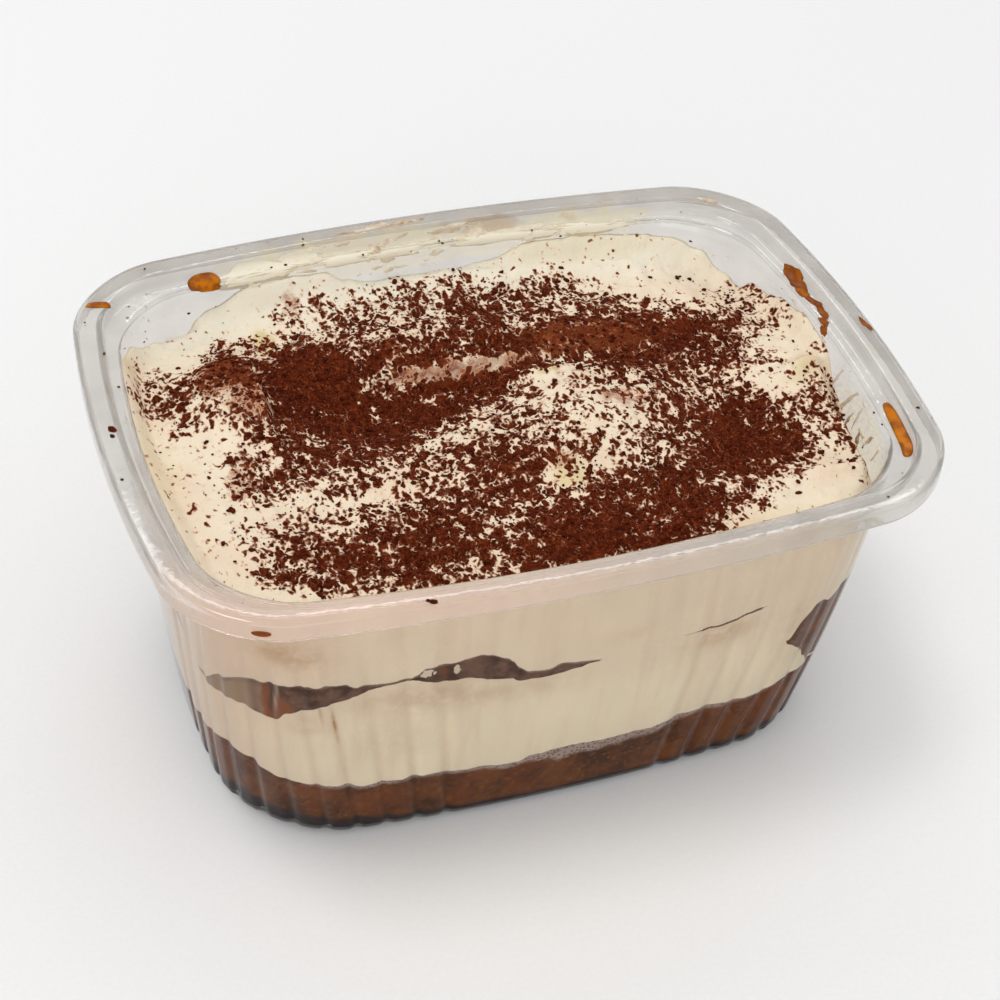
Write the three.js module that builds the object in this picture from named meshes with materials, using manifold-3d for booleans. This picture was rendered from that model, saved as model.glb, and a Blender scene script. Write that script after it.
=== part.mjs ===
// Layered coffee dessert in its own clear rectangular tub.
// Units are millimetres. +X runs along the tub, -Y is the front wall, +Z is up and the base stands at z = 0.

import * as THREE from "three";
import { mergeVertices } from "three/addons/utils/BufferGeometryUtils.js";
import Module from "manifold-3d";

// ---- Driving dimensions -------------------------------------------------------------------------

const TUB_LENGTH = 139;
const TUB_WIDTH = 103;
const TUB_HEIGHT = 64.8;
const SHEET = 0.8;

// The rim: a flat flange, a turned-down skirt outside it and a stepped ledge inside it.
const RIM_CORNER_RADIUS = 15.5;
const SKIRT_HEIGHT = 3.4;
const RIM_EDGE_ROUND = 0.5;
const FLANGE_WIDTH = 4.5;
const LEDGE_DROP = 2.4;
const LEDGE_START = 4.9;
const LEDGE_WIDTH = 2.1;
const LEDGE_CORNER_RADIUS = 12;

// The wall, from just under the ledge down to the fillet of the base.
const WALL_TOP_INSET = 6.7;
const WALL_BASE_INSET = 12.3;
const WALL_CURVE = 1.5;
const WALL_TOP_CORNER_RADIUS = 13;
const WALL_BASE_CORNER_RADIUS = 18;
const BASE_FILLET_HEIGHT = 2.6;
const BASE_EDGE_INSET = 15.2;

// The sides bow outwards between the corners, less so at the base than at the rim.
const LONG_SIDE_BOW = 4.45;
const SHORT_SIDE_BOW = 4.5;
const BASE_BOW = 3.4;

// Flutes run down the corners. Each wall keeps a plain panel in its middle.
const FLUTE_PITCH = 5.3;
const FLUTE_DEPTH = 0.55;
const LONG_PANEL_HALF = 20;
const SHORT_PANEL_HALF = 9;
const LONG_PANEL_STEPS = 3;
const SHORT_PANEL_STEPS = 2;

// Food.
const CLEARANCE = 0.3;
const SPONGE_BASE_LEVEL = 14.4;
const SPONGE_BASE_CORNER_RISE = 4.6;
const SPONGE_MIDDLE_LEVEL = 40;
const SPONGE_MIDDLE_THICKNESS = 4.6;
const SPONGE_MIDDLE_THIN_EDGE = 0.8;
const SPONGE_MIDDLE_SETBACK = 3;
const PARTING_REACH = 1.4;
const SLOT_GAP = 0.45;
const CREAM_LEVEL = 55.8;
const FOOD_STATIONS = 48;

// Cocoa clumps large enough to stand up from the cream.
const CLUMP_COUNT = 42;
const CLUMP_RADIUS_MIN = 0.8;
const CLUMP_RADIUS_MAX = 1.5;
const CLUMP_FLATNESS = 0.55;
const CLUMP_SPACING = 2.6;
const CLUMP_SEED = 41;

const HALF_LENGTH = TUB_LENGTH / 2;
const HALF_WIDTH = TUB_WIDTH / 2;
const WALL_TOP = TUB_HEIGHT - LEDGE_DROP - SHEET;

// ---- Small helpers ------------------------------------------------------------------------------

function clamp01(value) {
  return Math.min(1, Math.max(0, value));
}

function mix(from, to, part) {
  return from + (to - from) * part;
}

function smoothStep(from, to, value) {
  const part = clamp01((value - from) / (to - from));
  return part * part * (3 - 2 * part);
}

/** A round bump, 1 at its centre, in an ellipse of half sizes rx and ry. */
function bump(x, y, { cx, cy, rx, ry }) {
  return Math.exp(-(((x - cx) / rx) ** 2) - ((y - cy) / ry) ** 2);
}

function seededRandom(seed) {
  let state = seed;
  return () => {
    state = (state + 0x6d2b79f5) | 0;
    let t = Math.imul(state ^ (state >>> 15), 1 | state);
    t = (t + Math.imul(t ^ (t >>> 7), 61 | t)) ^ t;
    return ((t ^ (t >>> 14)) >>> 0) / 2 ** 32;
  };
}

/** An uneven surface of about unit height: a few waves with seeded directions and phases. */
function makeUnevenness(seed, shortest, longest, count = 7) {
  const random = seededRandom(seed);
  const waves = [];
  for (let i = 0; i < count; i += 1) {
    const direction = random() * Math.PI * 2;
    const number = (Math.PI * 2) / mix(shortest, longest, random());
    waves.push({
      kx: Math.cos(direction) * number,
      ky: Math.sin(direction) * number,
      phase: random() * Math.PI * 2,
    });
  }
  return (x, y) => {
    let sum = 0;
    for (const wave of waves) sum += Math.sin(wave.kx * x + wave.ky * y + wave.phase);
    return sum / Math.sqrt(count);
  };
}

// ---- Outlines -----------------------------------------------------------------------------------
// A station is a place on a quarter of the outline, from the middle of the long side (0) over the
// corner to the middle of the short side, given as a part of its straight or its arc.

function outlineShape(inset, corner, bowPart) {
  const longBow = mix(LONG_SIDE_BOW, BASE_BOW, bowPart);
  const shortBow = mix(SHORT_SIDE_BOW, BASE_BOW, bowPart);
  return {
    halfX: HALF_LENGTH - inset - shortBow,
    halfY: HALF_WIDTH - inset - longBow,
    corner,
    longBow,
    shortBow,
  };
}

function quarterPoint(station, shape) {
  const { halfX, halfY, corner, longBow, shortBow } = shape;
  let x = halfX;
  let y = halfY;
  if (station.side === "long") {
    x = (halfX - corner) * station.part;
  } else if (station.side === "short") {
    y = (halfY - corner) * (1 - station.part);
  } else {
    const angle = (Math.PI / 2) * (1 - station.part);
    x = halfX - corner + corner * Math.cos(angle);
    y = halfY - corner + corner * Math.sin(angle);
  }
  return {
    x: x + shortBow * (1 - (y / halfY) ** 2) * (x / halfX),
    y: y + longBow * (1 - (x / halfX) ** 2) * (y / halfY),
  };
}

/** The whole ring, counter-clockwise seen from above, from the four mirrored quarters. */
function fullRing(quarter) {
  const forward = quarter;
  const backward = [...quarter].reverse();
  const ring = [];
  const add = (list, signX, signY) => {
    for (const entry of list.slice(0, -1)) ring.push({ ...entry, signX, signY });
  };
  add(backward, 1, 1);
  add(forward, -1, 1);
  add(backward, -1, -1);
  add(forward, 1, -1);
  return ring;
}

function ringPoint(station, shape) {
  const point = quarterPoint(station, shape);
  return { x: point.x * station.signX, y: point.y * station.signY };
}

/** How far down the wall a height is: 0 under the ledge, 1 at the top of the base fillet. */
function wallPart(z) {
  return clamp01((WALL_TOP - z) / (WALL_TOP - BASE_FILLET_HEIGHT));
}

/** Outline of the wall's outer face at height z, moved inwards by extra. */
function wallShape(z, extra = 0) {
  const part = wallPart(z);
  const inset = mix(WALL_TOP_INSET, WALL_BASE_INSET, part ** WALL_CURVE);
  const corner = mix(WALL_TOP_CORNER_RADIUS, WALL_BASE_CORNER_RADIUS, part);
  return outlineShape(inset + extra, corner, part);
}

// ---- Tub ----------------------------------------------------------------------------------------

const FLUTE_PROFILE = [
  { at: 0, depth: 1 },
  { at: 0.25, depth: 0 },
  { at: 0.75, depth: 0 },
];

/** Quarter stations of the tub: few on the plain panels, three to each flute. */
function tubStations() {
  const base = wallShape(BASE_FILLET_HEIGHT);
  const longStraight = base.halfX - base.corner;
  const shortStraight = base.halfY - base.corner;
  const arc = (base.corner * Math.PI) / 2;
  const start = LONG_PANEL_HALF;
  const end = longStraight + arc + (shortStraight - SHORT_PANEL_HALF);
  const flutes = Math.round((end - start) / FLUTE_PITCH);
  const pitch = (end - start) / flutes;

  const stationAt = (distance, depth) => {
    if (distance < longStraight) return { side: "long", part: distance / longStraight, depth };
    const past = distance - longStraight;
    if (past < arc) return { side: "corner", part: past / arc, depth };
    return { side: "short", part: (past - arc) / shortStraight, depth };
  };

  const stations = [];
  for (let i = 0; i < LONG_PANEL_STEPS; i += 1) {
    stations.push(stationAt((start * i) / LONG_PANEL_STEPS, 0));
  }
  for (let i = 0; i < flutes; i += 1) {
    for (const { at, depth } of FLUTE_PROFILE) stations.push(stationAt(start + (i + at) * pitch, depth));
  }
  stations.push(stationAt(end, 1));
  for (let i = 1; i <= SHORT_PANEL_STEPS; i += 1) {
    stations.push(stationAt(end + (SHORT_PANEL_HALF * i) / SHORT_PANEL_STEPS, 0));
  }
  return stations;
}

/** Depth of the flutes at height z: deepest at the base, gone under the ledge. */
function fluteDepth(z) {
  return FLUTE_DEPTH * wallPart(z) ** 0.8;
}

/** Rings of the sheet in section, from the middle of the underside round to the middle of the floor. */
function tubSection() {
  const rimRing = (inset, z, corner = RIM_CORNER_RADIUS - inset) => ({
    shape: outlineShape(inset, corner, 0),
    z,
    depth: 0,
  });
  const wallRing = (z, extra) => ({ shape: wallShape(z, extra), z, depth: fluteDepth(z) });
  const baseRing = (inset, z, depth) => ({
    shape: outlineShape(inset, WALL_BASE_CORNER_RADIUS - (inset - WALL_BASE_INSET), 1),
    z,
    depth,
  });
  const ledge = TUB_HEIGHT - LEDGE_DROP;
  const ledgeEnd = LEDGE_START + LEDGE_WIDTH;
  const midWall = TUB_HEIGHT * 0.5;
  const lowWall = TUB_HEIGHT * 0.22;
  const filletMid = mix(WALL_BASE_INSET, BASE_EDGE_INSET, 0.3);
  const filletMidHeight = BASE_FILLET_HEIGHT * 0.3;
  return [
    baseRing(BASE_EDGE_INSET, 0, 0),
    baseRing(filletMid, filletMidHeight, FLUTE_DEPTH * 0.7),
    wallRing(BASE_FILLET_HEIGHT, 0),
    wallRing(lowWall, 0),
    wallRing(midWall, 0),
    wallRing(WALL_TOP, 0),
    rimRing(LEDGE_START - SHEET, ledge - SHEET),
    rimRing(FLANGE_WIDTH - SHEET, TUB_HEIGHT - SHEET),
    rimRing(SHEET, TUB_HEIGHT - SHEET),
    rimRing(SHEET, TUB_HEIGHT - SKIRT_HEIGHT),
    rimRing(0, TUB_HEIGHT - SKIRT_HEIGHT),
    rimRing(0, TUB_HEIGHT - RIM_EDGE_ROUND),
    rimRing(RIM_EDGE_ROUND, TUB_HEIGHT),
    rimRing(FLANGE_WIDTH, TUB_HEIGHT),
    rimRing(LEDGE_START, ledge),
    rimRing(ledgeEnd, ledge, LEDGE_CORNER_RADIUS),
    wallRing(WALL_TOP - SHEET, SHEET),
    wallRing(midWall, SHEET),
    wallRing(lowWall, SHEET),
    wallRing(BASE_FILLET_HEIGHT + SHEET, SHEET),
    baseRing(filletMid + SHEET, filletMidHeight + SHEET, FLUTE_DEPTH * 0.7),
    baseRing(BASE_EDGE_INSET + SHEET, SHEET, 0),
  ];
}

/** Position on a ring, with the flutes pressed inwards along the outline's normal. */
function flutedPoint(station, ring) {
  const depth = ring.depth * station.depth;
  const point = ringPoint(station, ring.shape);
  if (depth === 0) return point;
  const inner = ringPoint(station, {
    ...ring.shape,
    halfX: ring.shape.halfX - 1,
    halfY: ring.shape.halfY - 1,
    corner: ring.shape.corner - 1,
  });
  const length = Math.hypot(inner.x - point.x, inner.y - point.y);
  return {
    x: point.x + ((inner.x - point.x) / length) * depth,
    y: point.y + ((inner.y - point.y) / length) * depth,
  };
}

/**
 * Closes a stack of rings into a solid: the first ring is capped below, the last one above.
 * The first mirroredBands bands are split along their other diagonal, so that the underside of one
 * layer is split like the upper side of the layer below it.
 */
function closeRings(rings, firstCentre, lastCentre, mirroredBands = 0) {
  const count = rings[0].length;
  const positions = [];
  const index = [];
  for (const ring of rings) {
    for (const point of ring) positions.push(point.x, point.y, point.z);
  }
  const first = rings.length * count;
  const last = first + 1;
  positions.push(0, 0, firstCentre, 0, 0, lastCentre);
  for (let j = 0; j < count; j += 1) {
    const next = (j + 1) % count;
    index.push(first, next, j);
    const end = (rings.length - 1) * count;
    index.push(last, end + j, end + next);
    for (let k = 0; k < rings.length - 1; k += 1) {
      const a = k * count + j;
      const b = k * count + next;
      if (k < mirroredBands) index.push(a, b, a + count, b, b + count, a + count);
      else index.push(a, b, b + count, a, b + count, a + count);
    }
  }
  const geometry = new THREE.BufferGeometry();
  geometry.setAttribute("position", new THREE.Float32BufferAttribute(positions, 3));
  geometry.setIndex(index);
  return geometry;
}

function tubGeometry() {
  const ring = fullRing(tubStations());
  const rings = tubSection().map((section) =>
    ring.map((station) => ({ ...flutedPoint(station, section), z: section.z }))
  );
  return closeRings(rings, 0, SHEET);
}

// ---- Food surfaces ------------------------------------------------------------------------------

const spongeUnevenness = makeUnevenness(11, 9, 26);
const middleUnevenness = makeUnevenness(23, 22, 60);
const creamUnevenness = makeUnevenness(37, 14, 40);

// Where the middle sponge reaches the wall: centre on the wall, half sizes, thickness and lift there.
const SPONGE_SHOWS = [
  { cx: -51, cy: -40, rx: 7, ry: 9, thickness: 6.6, lift: 1.6 },
  { cx: -38, cy: -43, rx: 7, ry: 7, thickness: 3.6, lift: 0.6 },
  { cx: -15, cy: -44, rx: 6, ry: 7, thickness: 6.2, lift: 0.4 },
  { cx: -3, cy: -44, rx: 7, ry: 7, thickness: 2.4, lift: -3.4 },
  { cx: 50, cy: -36, rx: 8, ry: 9, thickness: 9, lift: -5.5 },
  { cx: 62, cy: -6, rx: 9, ry: 17, thickness: 6, lift: 1.5 },
  { cx: 24, cy: 44, rx: 20, ry: 8, thickness: 5, lift: 0.5 },
  { cx: -34, cy: 43, rx: 16, ry: 8, thickness: 4.4, lift: 1.5 },
  { cx: -62, cy: 4, rx: 9, ry: 16, thickness: 5.4, lift: 2 },
];

function spongeBaseTop(x, y) {
  const corner = smoothStep(30, 47, Math.abs(x)) * smoothStep(12, 38, Math.abs(y));
  return SPONGE_BASE_LEVEL + SPONGE_BASE_CORNER_RISE * corner + 0.5 * spongeUnevenness(x, y);
}

function spongeMiddleCentre(x, y) {
  let level = SPONGE_MIDDLE_LEVEL + 1.1 * middleUnevenness(x, y);
  for (const place of SPONGE_SHOWS) level += place.lift * bump(x, y, place);
  return level;
}

/** How much the middle sponge shows at a place near the wall: 0 set back, 1 right up to the wall. */
function spongeShow(x, y) {
  let show = 0;
  for (const place of SPONGE_SHOWS) show = Math.max(show, bump(x, y, place));
  return smoothStep(0.1, 0.35, show);
}

function spongeMiddleThickness(x, y, inset) {
  let edge = SPONGE_MIDDLE_THIN_EDGE;
  for (const place of SPONGE_SHOWS) {
    edge = Math.max(edge, place.thickness * bump(x, y, place));
  }
  return mix(edge, SPONGE_MIDDLE_THICKNESS, smoothStep(2, 9, inset));
}

// The cream's hills and hollows: centre, half sizes and height.
const CREAM_HILLS = [
  { cx: -43, cy: 13, rx: 8, ry: 13, height: 2.4 },
  { cx: -16, cy: 8, rx: 20, ry: 9, height: -3.2 },
  { cx: -4, cy: 23, rx: 34, ry: 7, height: 2 },
  { cx: 15, cy: -5, rx: 13, ry: 12, height: 3.4 },
  { cx: 41, cy: -15, rx: 11, ry: 9, height: -1.4 },
  { cx: 55, cy: -3, rx: 7, ry: 8, height: 2.2 },
  { cx: -56, cy: -14, rx: 8, ry: 18, height: 1.2 },
  { cx: -20, cy: -30, rx: 22, ry: 8, height: -0.8 },
  { cx: -52, cy: 36, rx: 13, ry: 9, height: -2.4 },
  { cx: 54, cy: 30, rx: 14, ry: 12, height: -3 },
  { cx: 0, cy: 46, rx: 34, ry: 7, height: 2.6 },
  { cx: 10, cy: -46, rx: 60, ry: 7, height: -2.6 },
];

// The left hill folds over on its right, and a shelf of cream stands behind the hollow.
const FOLD = { x: -37, reach: 2.2, drop: 1.6, cy: 12, ry: 14 };
const SHELF = { y: 15.5, reach: 1.6, drop: 2, cx: -4, rx: 16 };

function creamTop(x, y) {
  let level = CREAM_LEVEL + 0.4 * creamUnevenness(x, y);
  for (const hill of CREAM_HILLS) level += hill.height * bump(x, y, hill);
  const foldSide = 1 - smoothStep(FOLD.x - FOLD.reach, FOLD.x + FOLD.reach, x);
  const foldReach = Math.exp(-(((y - FOLD.cy) / FOLD.ry) ** 2)) * smoothStep(-54, -42, x);
  const shelfSide = smoothStep(SHELF.y - SHELF.reach, SHELF.y + SHELF.reach, y);
  const shelfReach = Math.exp(-(((x - SHELF.cx) / SHELF.rx) ** 2)) * (1 - smoothStep(18, 30, y));
  return level + FOLD.drop * foldSide * foldReach + SHELF.drop * shelfSide * shelfReach;
}

// ---- Food solids --------------------------------------------------------------------------------

/** Evenly spaced quarter stations for the food. */
function foodStations() {
  const shape = wallShape(TUB_HEIGHT / 2);
  const lengths = {
    long: shape.halfX - shape.corner,
    corner: (shape.corner * Math.PI) / 2,
    short: shape.halfY - shape.corner,
  };
  const total = lengths.long + lengths.corner + lengths.short;
  const stations = [];
  for (const [side, length] of Object.entries(lengths)) {
    const steps = Math.max(2, Math.round(((FOOD_STATIONS / 4) * length) / total));
    for (let i = 0; i < steps; i += 1) stations.push({ side, part: i / steps });
  }
  stations.push({ side: "short", part: 1 });
  return stations;
}

const FOOD_RING = fullRing(foodStations());

// Rings of a layer's faces: distance in from the food's side, then a scale towards the middle.
const EDGE_INSETS = [0, 1.4, 2.4, 3.2];
const COARSE_SCALES = [0.78, 0.5, 0.24];
const FINE_SCALES = [0.93, 0.84, 0.75, 0.65, 0.55, 0.45, 0.34, 0.23, 0.12];

function faceRings(scales, insets = EDGE_INSETS) {
  const rings = insets.map((inset) => ({ inset, scale: 1 }));
  const last = insets[insets.length - 1];
  for (const scale of scales) rings.push({ inset: last, scale });
  return rings;
}

/** The food's outline at height z: clear of the sheet and of the flutes pressed into it. */
function foodShape(z, inset) {
  return wallShape(z, SHEET + CLEARANCE + fluteDepth(z) + inset);
}

/** A vertex of a layer's face: its height and its place in the tapering tub fit each other. */
function facePoint(station, { inset, scale }, setback, height) {
  let z = CREAM_LEVEL / 2;
  let point = { x: 0, y: 0 };
  for (let pass = 0; pass < 4; pass += 1) {
    const shape = foodShape(z, Math.max(inset, setback(station)));
    const edge = ringPoint(station, shape);
    point = { x: edge.x * scale, y: edge.y * scale };
    const depth = inset + (1 - scale) * Math.hypot(edge.x, edge.y);
    z = height(point.x, point.y, depth, edge);
  }
  return { ...point, z };
}

/** A layer between two uneven faces, its side following the wall of the tub. */
function layerGeometry({ below, above, belowRings, aboveRings, setback = () => 0 }) {
  const buildRing = (ring, height) => FOOD_RING.map((station) => facePoint(station, ring, setback, height));
  const lower = [...belowRings].reverse().map((ring) => buildRing(ring, below));
  const upper = aboveRings.map((ring) => buildRing(ring, above));
  const deep = HALF_WIDTH;
  const origin = { x: 0, y: 0 };
  const lowerCentre = below(0, 0, deep, origin);
  const upperCentre = above(0, 0, deep, origin);
  return closeRings([...lower, ...upper], lowerCentre, upperCentre, lower.length - 1);
}

function spongeBaseGeometry() {
  const floor = SHEET + CLEARANCE;
  return layerGeometry({
    below: (x, y, depth) => mix(BASE_FILLET_HEIGHT + CLEARANCE, floor, smoothStep(0, 4, depth)),
    above: spongeBaseTop,
    belowRings: [0, 1.2, 2.6, 4].map((inset) => ({ inset, scale: 1 })),
    aboveRings: faceRings(COARSE_SCALES),
  });
}

/** Half the slot left for the middle sponge, down to a plain parting where the sponge is set back. */
function parting(x, y, depth, edge) {
  const start = SPONGE_MIDDLE_SETBACK * (1 - spongeShow(edge.x, edge.y));
  const slot = spongeMiddleThickness(x, y, depth) / 2 + SLOT_GAP;
  const open = start - PARTING_REACH;
  return mix(CLEARANCE / 2, slot, smoothStep(open - PARTING_REACH / 2, open, depth + CLEARANCE / 2));
}

function creamLowerGeometry() {
  return layerGeometry({
    below: (x, y) => spongeBaseTop(x, y) + CLEARANCE,
    above: (x, y, depth, edge) => spongeMiddleCentre(x, y) - parting(x, y, depth, edge),
    belowRings: faceRings(COARSE_SCALES),
    aboveRings: faceRings(COARSE_SCALES),
  });
}

function spongeMiddleGeometry() {
  const setback = (station) => {
    const edge = ringPoint(station, foodShape(SPONGE_MIDDLE_LEVEL, 0));
    return SPONGE_MIDDLE_SETBACK * (1 - spongeShow(edge.x, edge.y));
  };
  const rings = faceRings(COARSE_SCALES, [0, EDGE_INSETS[EDGE_INSETS.length - 1]]);
  return layerGeometry({
    below: (x, y, depth) => spongeMiddleCentre(x, y) - spongeMiddleThickness(x, y, depth) / 2,
    above: (x, y, depth) => spongeMiddleCentre(x, y) + spongeMiddleThickness(x, y, depth) / 2,
    belowRings: rings,
    aboveRings: rings,
    setback,
  });
}

function creamTopGeometry() {
  return layerGeometry({
    below: (x, y, depth, edge) => spongeMiddleCentre(x, y) + parting(x, y, depth, edge),
    above: creamTop,
    belowRings: faceRings(COARSE_SCALES),
    aboveRings: faceRings(FINE_SCALES),
  });
}

// ---- Cocoa clumps -------------------------------------------------------------------------------

// Where the cocoa lies thickest: centre and half sizes.
const COCOA_PATCHES = [
  { cx: -16, cy: 9, rx: 24, ry: 10 },
  { cx: 6, cy: 23, rx: 34, ry: 8 },
  { cx: -8, cy: -29, rx: 32, ry: 8 },
  { cx: 40, cy: -13, rx: 13, ry: 10 },
];

function cocoaDensity(x, y) {
  let density = 0.06;
  for (const patch of COCOA_PATCHES) density = Math.max(density, bump(x, y, patch));
  return density;
}

/** Places for the clumps, drawn by density and kept apart. */
function clumpPlaces() {
  const random = seededRandom(CLUMP_SEED);
  const places = [];
  const reachX = HALF_LENGTH - WALL_TOP_INSET - CLUMP_SPACING * 2;
  const reachY = HALF_WIDTH - WALL_TOP_INSET - CLUMP_SPACING * 2;
  while (places.length < CLUMP_COUNT) {
    const x = mix(-reachX, reachX, random());
    const y = mix(-reachY, reachY, random());
    const radius = mix(CLUMP_RADIUS_MIN, CLUMP_RADIUS_MAX, random() ** 2);
    const turn = random() * Math.PI;
    const apart = places.every((place) => Math.hypot(place.x - x, place.y - y) > CLUMP_SPACING);
    if (apart && random() < cocoaDensity(x, y)) places.push({ x, y, radius, turn });
  }
  return places;
}

function clumpGeometry({ x, y, radius, turn }) {
  const geometry = new THREE.IcosahedronGeometry(radius, 0);
  geometry.rotateZ(turn);
  geometry.scale(1, 1, CLUMP_FLATNESS);
  geometry.translate(x, y, creamTop(x, y));
  return geometry;
}

// ---- Joining ------------------------------------------------------------------------------------

function toManifold(wasm, geometry) {
  const plain = geometry.clone();
  plain.deleteAttribute("normal");
  plain.deleteAttribute("uv");
  const merged = mergeVertices(plain, 1e-4);
  return new wasm.Manifold(
    new wasm.Mesh({
      numProp: 3,
      vertProperties: new Float32Array(merged.attributes.position.array),
      triVerts: new Uint32Array(merged.index.array),
    })
  );
}

function fromManifold(solid) {
  const mesh = solid.getMesh();
  const geometry = new THREE.BufferGeometry();
  geometry.setAttribute("position", new THREE.Float32BufferAttribute(mesh.vertProperties, mesh.numProp));
  geometry.setIndex(new THREE.Uint32BufferAttribute(mesh.triVerts, 1));
  return geometry;
}

async function creamTopWithCocoa() {
  const wasm = await Module();
  wasm.setup();
  let solid = toManifold(wasm, creamTopGeometry());
  for (const place of clumpPlaces()) solid = solid.add(toManifold(wasm, clumpGeometry(place)));
  return fromManifold(solid);
}

function makeMesh(name, geometry, material) {
  geometry.computeVertexNormals();
  const mesh = new THREE.Mesh(geometry, new THREE.MeshStandardMaterial({ metalness: 0, ...material }));
  mesh.name = name;
  return mesh;
}

const clearPlastic = { color: 0xd6d3d0, roughness: 0.15, transparent: true, opacity: 0.35 };
const wetSponge = { color: 0x5f4130, roughness: 0.8 };
const middleSponge = { color: 0x6b564a, roughness: 0.8 };
const cream = { color: 0xefe3cb, roughness: 0.5 };

const dessert = new THREE.Group();
dessert.name = "tiramisu_tub";
dessert.add(makeMesh("tub", tubGeometry(), clearPlastic));
dessert.add(makeMesh("sponge_base", spongeBaseGeometry(), wetSponge));
dessert.add(makeMesh("cream_lower", creamLowerGeometry(), cream));
dessert.add(makeMesh("sponge_middle", spongeMiddleGeometry(), middleSponge));
dessert.add(makeMesh("cream_top", await creamTopWithCocoa(), cream));

export default dessert;
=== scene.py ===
"""Layered coffee dessert with cocoa in its clear tub: pieces, finishes, stage and camera."""

import math
import random
from collections import namedtuple
from functools import partial

import bmesh
import bpy
from bpy.props import FloatProperty, FloatVectorProperty, IntProperty, PointerProperty
from bpy.types import Operator, Panel, PropertyGroup
from mathutils import Matrix, Vector, noise


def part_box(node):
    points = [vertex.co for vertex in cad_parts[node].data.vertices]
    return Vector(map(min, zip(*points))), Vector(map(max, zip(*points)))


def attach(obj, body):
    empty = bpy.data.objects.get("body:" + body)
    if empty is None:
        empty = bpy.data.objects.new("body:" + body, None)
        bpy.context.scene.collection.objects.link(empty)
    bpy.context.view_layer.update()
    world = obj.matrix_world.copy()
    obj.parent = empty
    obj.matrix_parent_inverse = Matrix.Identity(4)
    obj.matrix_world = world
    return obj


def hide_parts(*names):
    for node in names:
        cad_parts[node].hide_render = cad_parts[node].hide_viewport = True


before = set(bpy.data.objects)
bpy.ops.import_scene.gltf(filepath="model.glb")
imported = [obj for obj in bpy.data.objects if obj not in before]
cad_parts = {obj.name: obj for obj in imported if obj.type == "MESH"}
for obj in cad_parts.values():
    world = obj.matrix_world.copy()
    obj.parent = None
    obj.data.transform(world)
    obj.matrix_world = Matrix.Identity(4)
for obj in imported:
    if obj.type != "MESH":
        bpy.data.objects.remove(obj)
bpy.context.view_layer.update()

bl_info = {
    "name": "Layered dessert in a clear tub",
    "version": (1, 0, 0),
    "blender": (4, 5, 0),
    "location": "3D View > Sidebar > Dessert",
    "description": "Makes the layers, the cocoa, the stains, the tub and the stage of a layered dessert",
    "category": "Add Mesh",
}

TUB_LOW, TUB_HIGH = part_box("tub")
MM = 0.001

# Sizes below are in millimetres. Heights are from the base that the tub stands on.
RIM_CORNER_RADIUS = 15.5
SKIRT_HEIGHT = 3.4
FLANGE_WIDTH = 4.5
LEDGE_DROP = 2.4
LEDGE_START = 4.9
LEDGE_WIDTH = 2.1
LEDGE_CORNER_RADIUS = 12
WALL_TOP_INSET = 6.7
WALL_BASE_INSET = 12.3
WALL_CURVE = 1.5
WALL_TOP_CORNER_RADIUS = 13
WALL_BASE_CORNER_RADIUS = 18
BASE_FILLET_HEIGHT = 2.6
BASE_EDGE_INSET = 15.2
LONG_SIDE_BOW = 4.45
SHORT_SIDE_BOW = 4.5
BASE_BOW = 3.4
LONG_PANEL_HALF = 20
SHORT_PANEL_HALF = 9
REACH = 0.3  # how far the food reaches into the inside of the wall
FOOD_FLOOR = 0.7


# ---- Small helpers ------------------------------------------------------------------------------


def clamp01(value):
    return min(1.0, max(0.0, value))


def mix(low, high, part):
    return low + (high - low) * part


def smooth_step(low, high, value):
    part = clamp01((value - low) / (high - low))
    return part * part * (3 - 2 * part)


def bump(x, y, cx, cy, rx, ry):
    """A round bump, 1 at its centre, in an ellipse of half sizes rx and ry."""
    return math.exp(-(((x - cx) / rx) ** 2) - ((y - cy) / ry) ** 2)


def along_line(stops, value):
    """Value of a line through stops, which are (place, number, ...), smoothed between them."""
    if value <= stops[0][0]:
        return stops[0][1:]
    for before, after in zip(stops, stops[1:]):
        if value <= after[0]:
            part = smooth_step(before[0], after[0], value)
            return tuple(mix(a, b, part) for a, b in zip(before[1:], after[1:]))
    return stops[-1][1:]


def uneven(x, y, size, seed, octaves=3):
    """Smooth unevenness from -1 to 1 with features of about this size."""
    return noise.fractal(Vector((x / size, y / size, seed)), 1.0, 2.0, octaves)


def hex_colour(text):
    """Linear colour of an sRGB hex colour such as #F0E4C8."""
    parts = [int(text[i : i + 2], 16) / 255 for i in (1, 3, 5)]
    return tuple(
        p / 12.92 if p <= 0.04045 else ((p + 0.055) / 1.055) ** 2.4 for p in parts
    ) + (1.0,)


# ---- The tub's outlines -------------------------------------------------------------------------
# A place on the outline runs from 0 to 4: 0 is the middle of the right side, 1 of the back, 2 of the
# left side and 3 of the front.

Outline = namedtuple("Outline", "half_x half_y corner long_bow short_bow")


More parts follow.
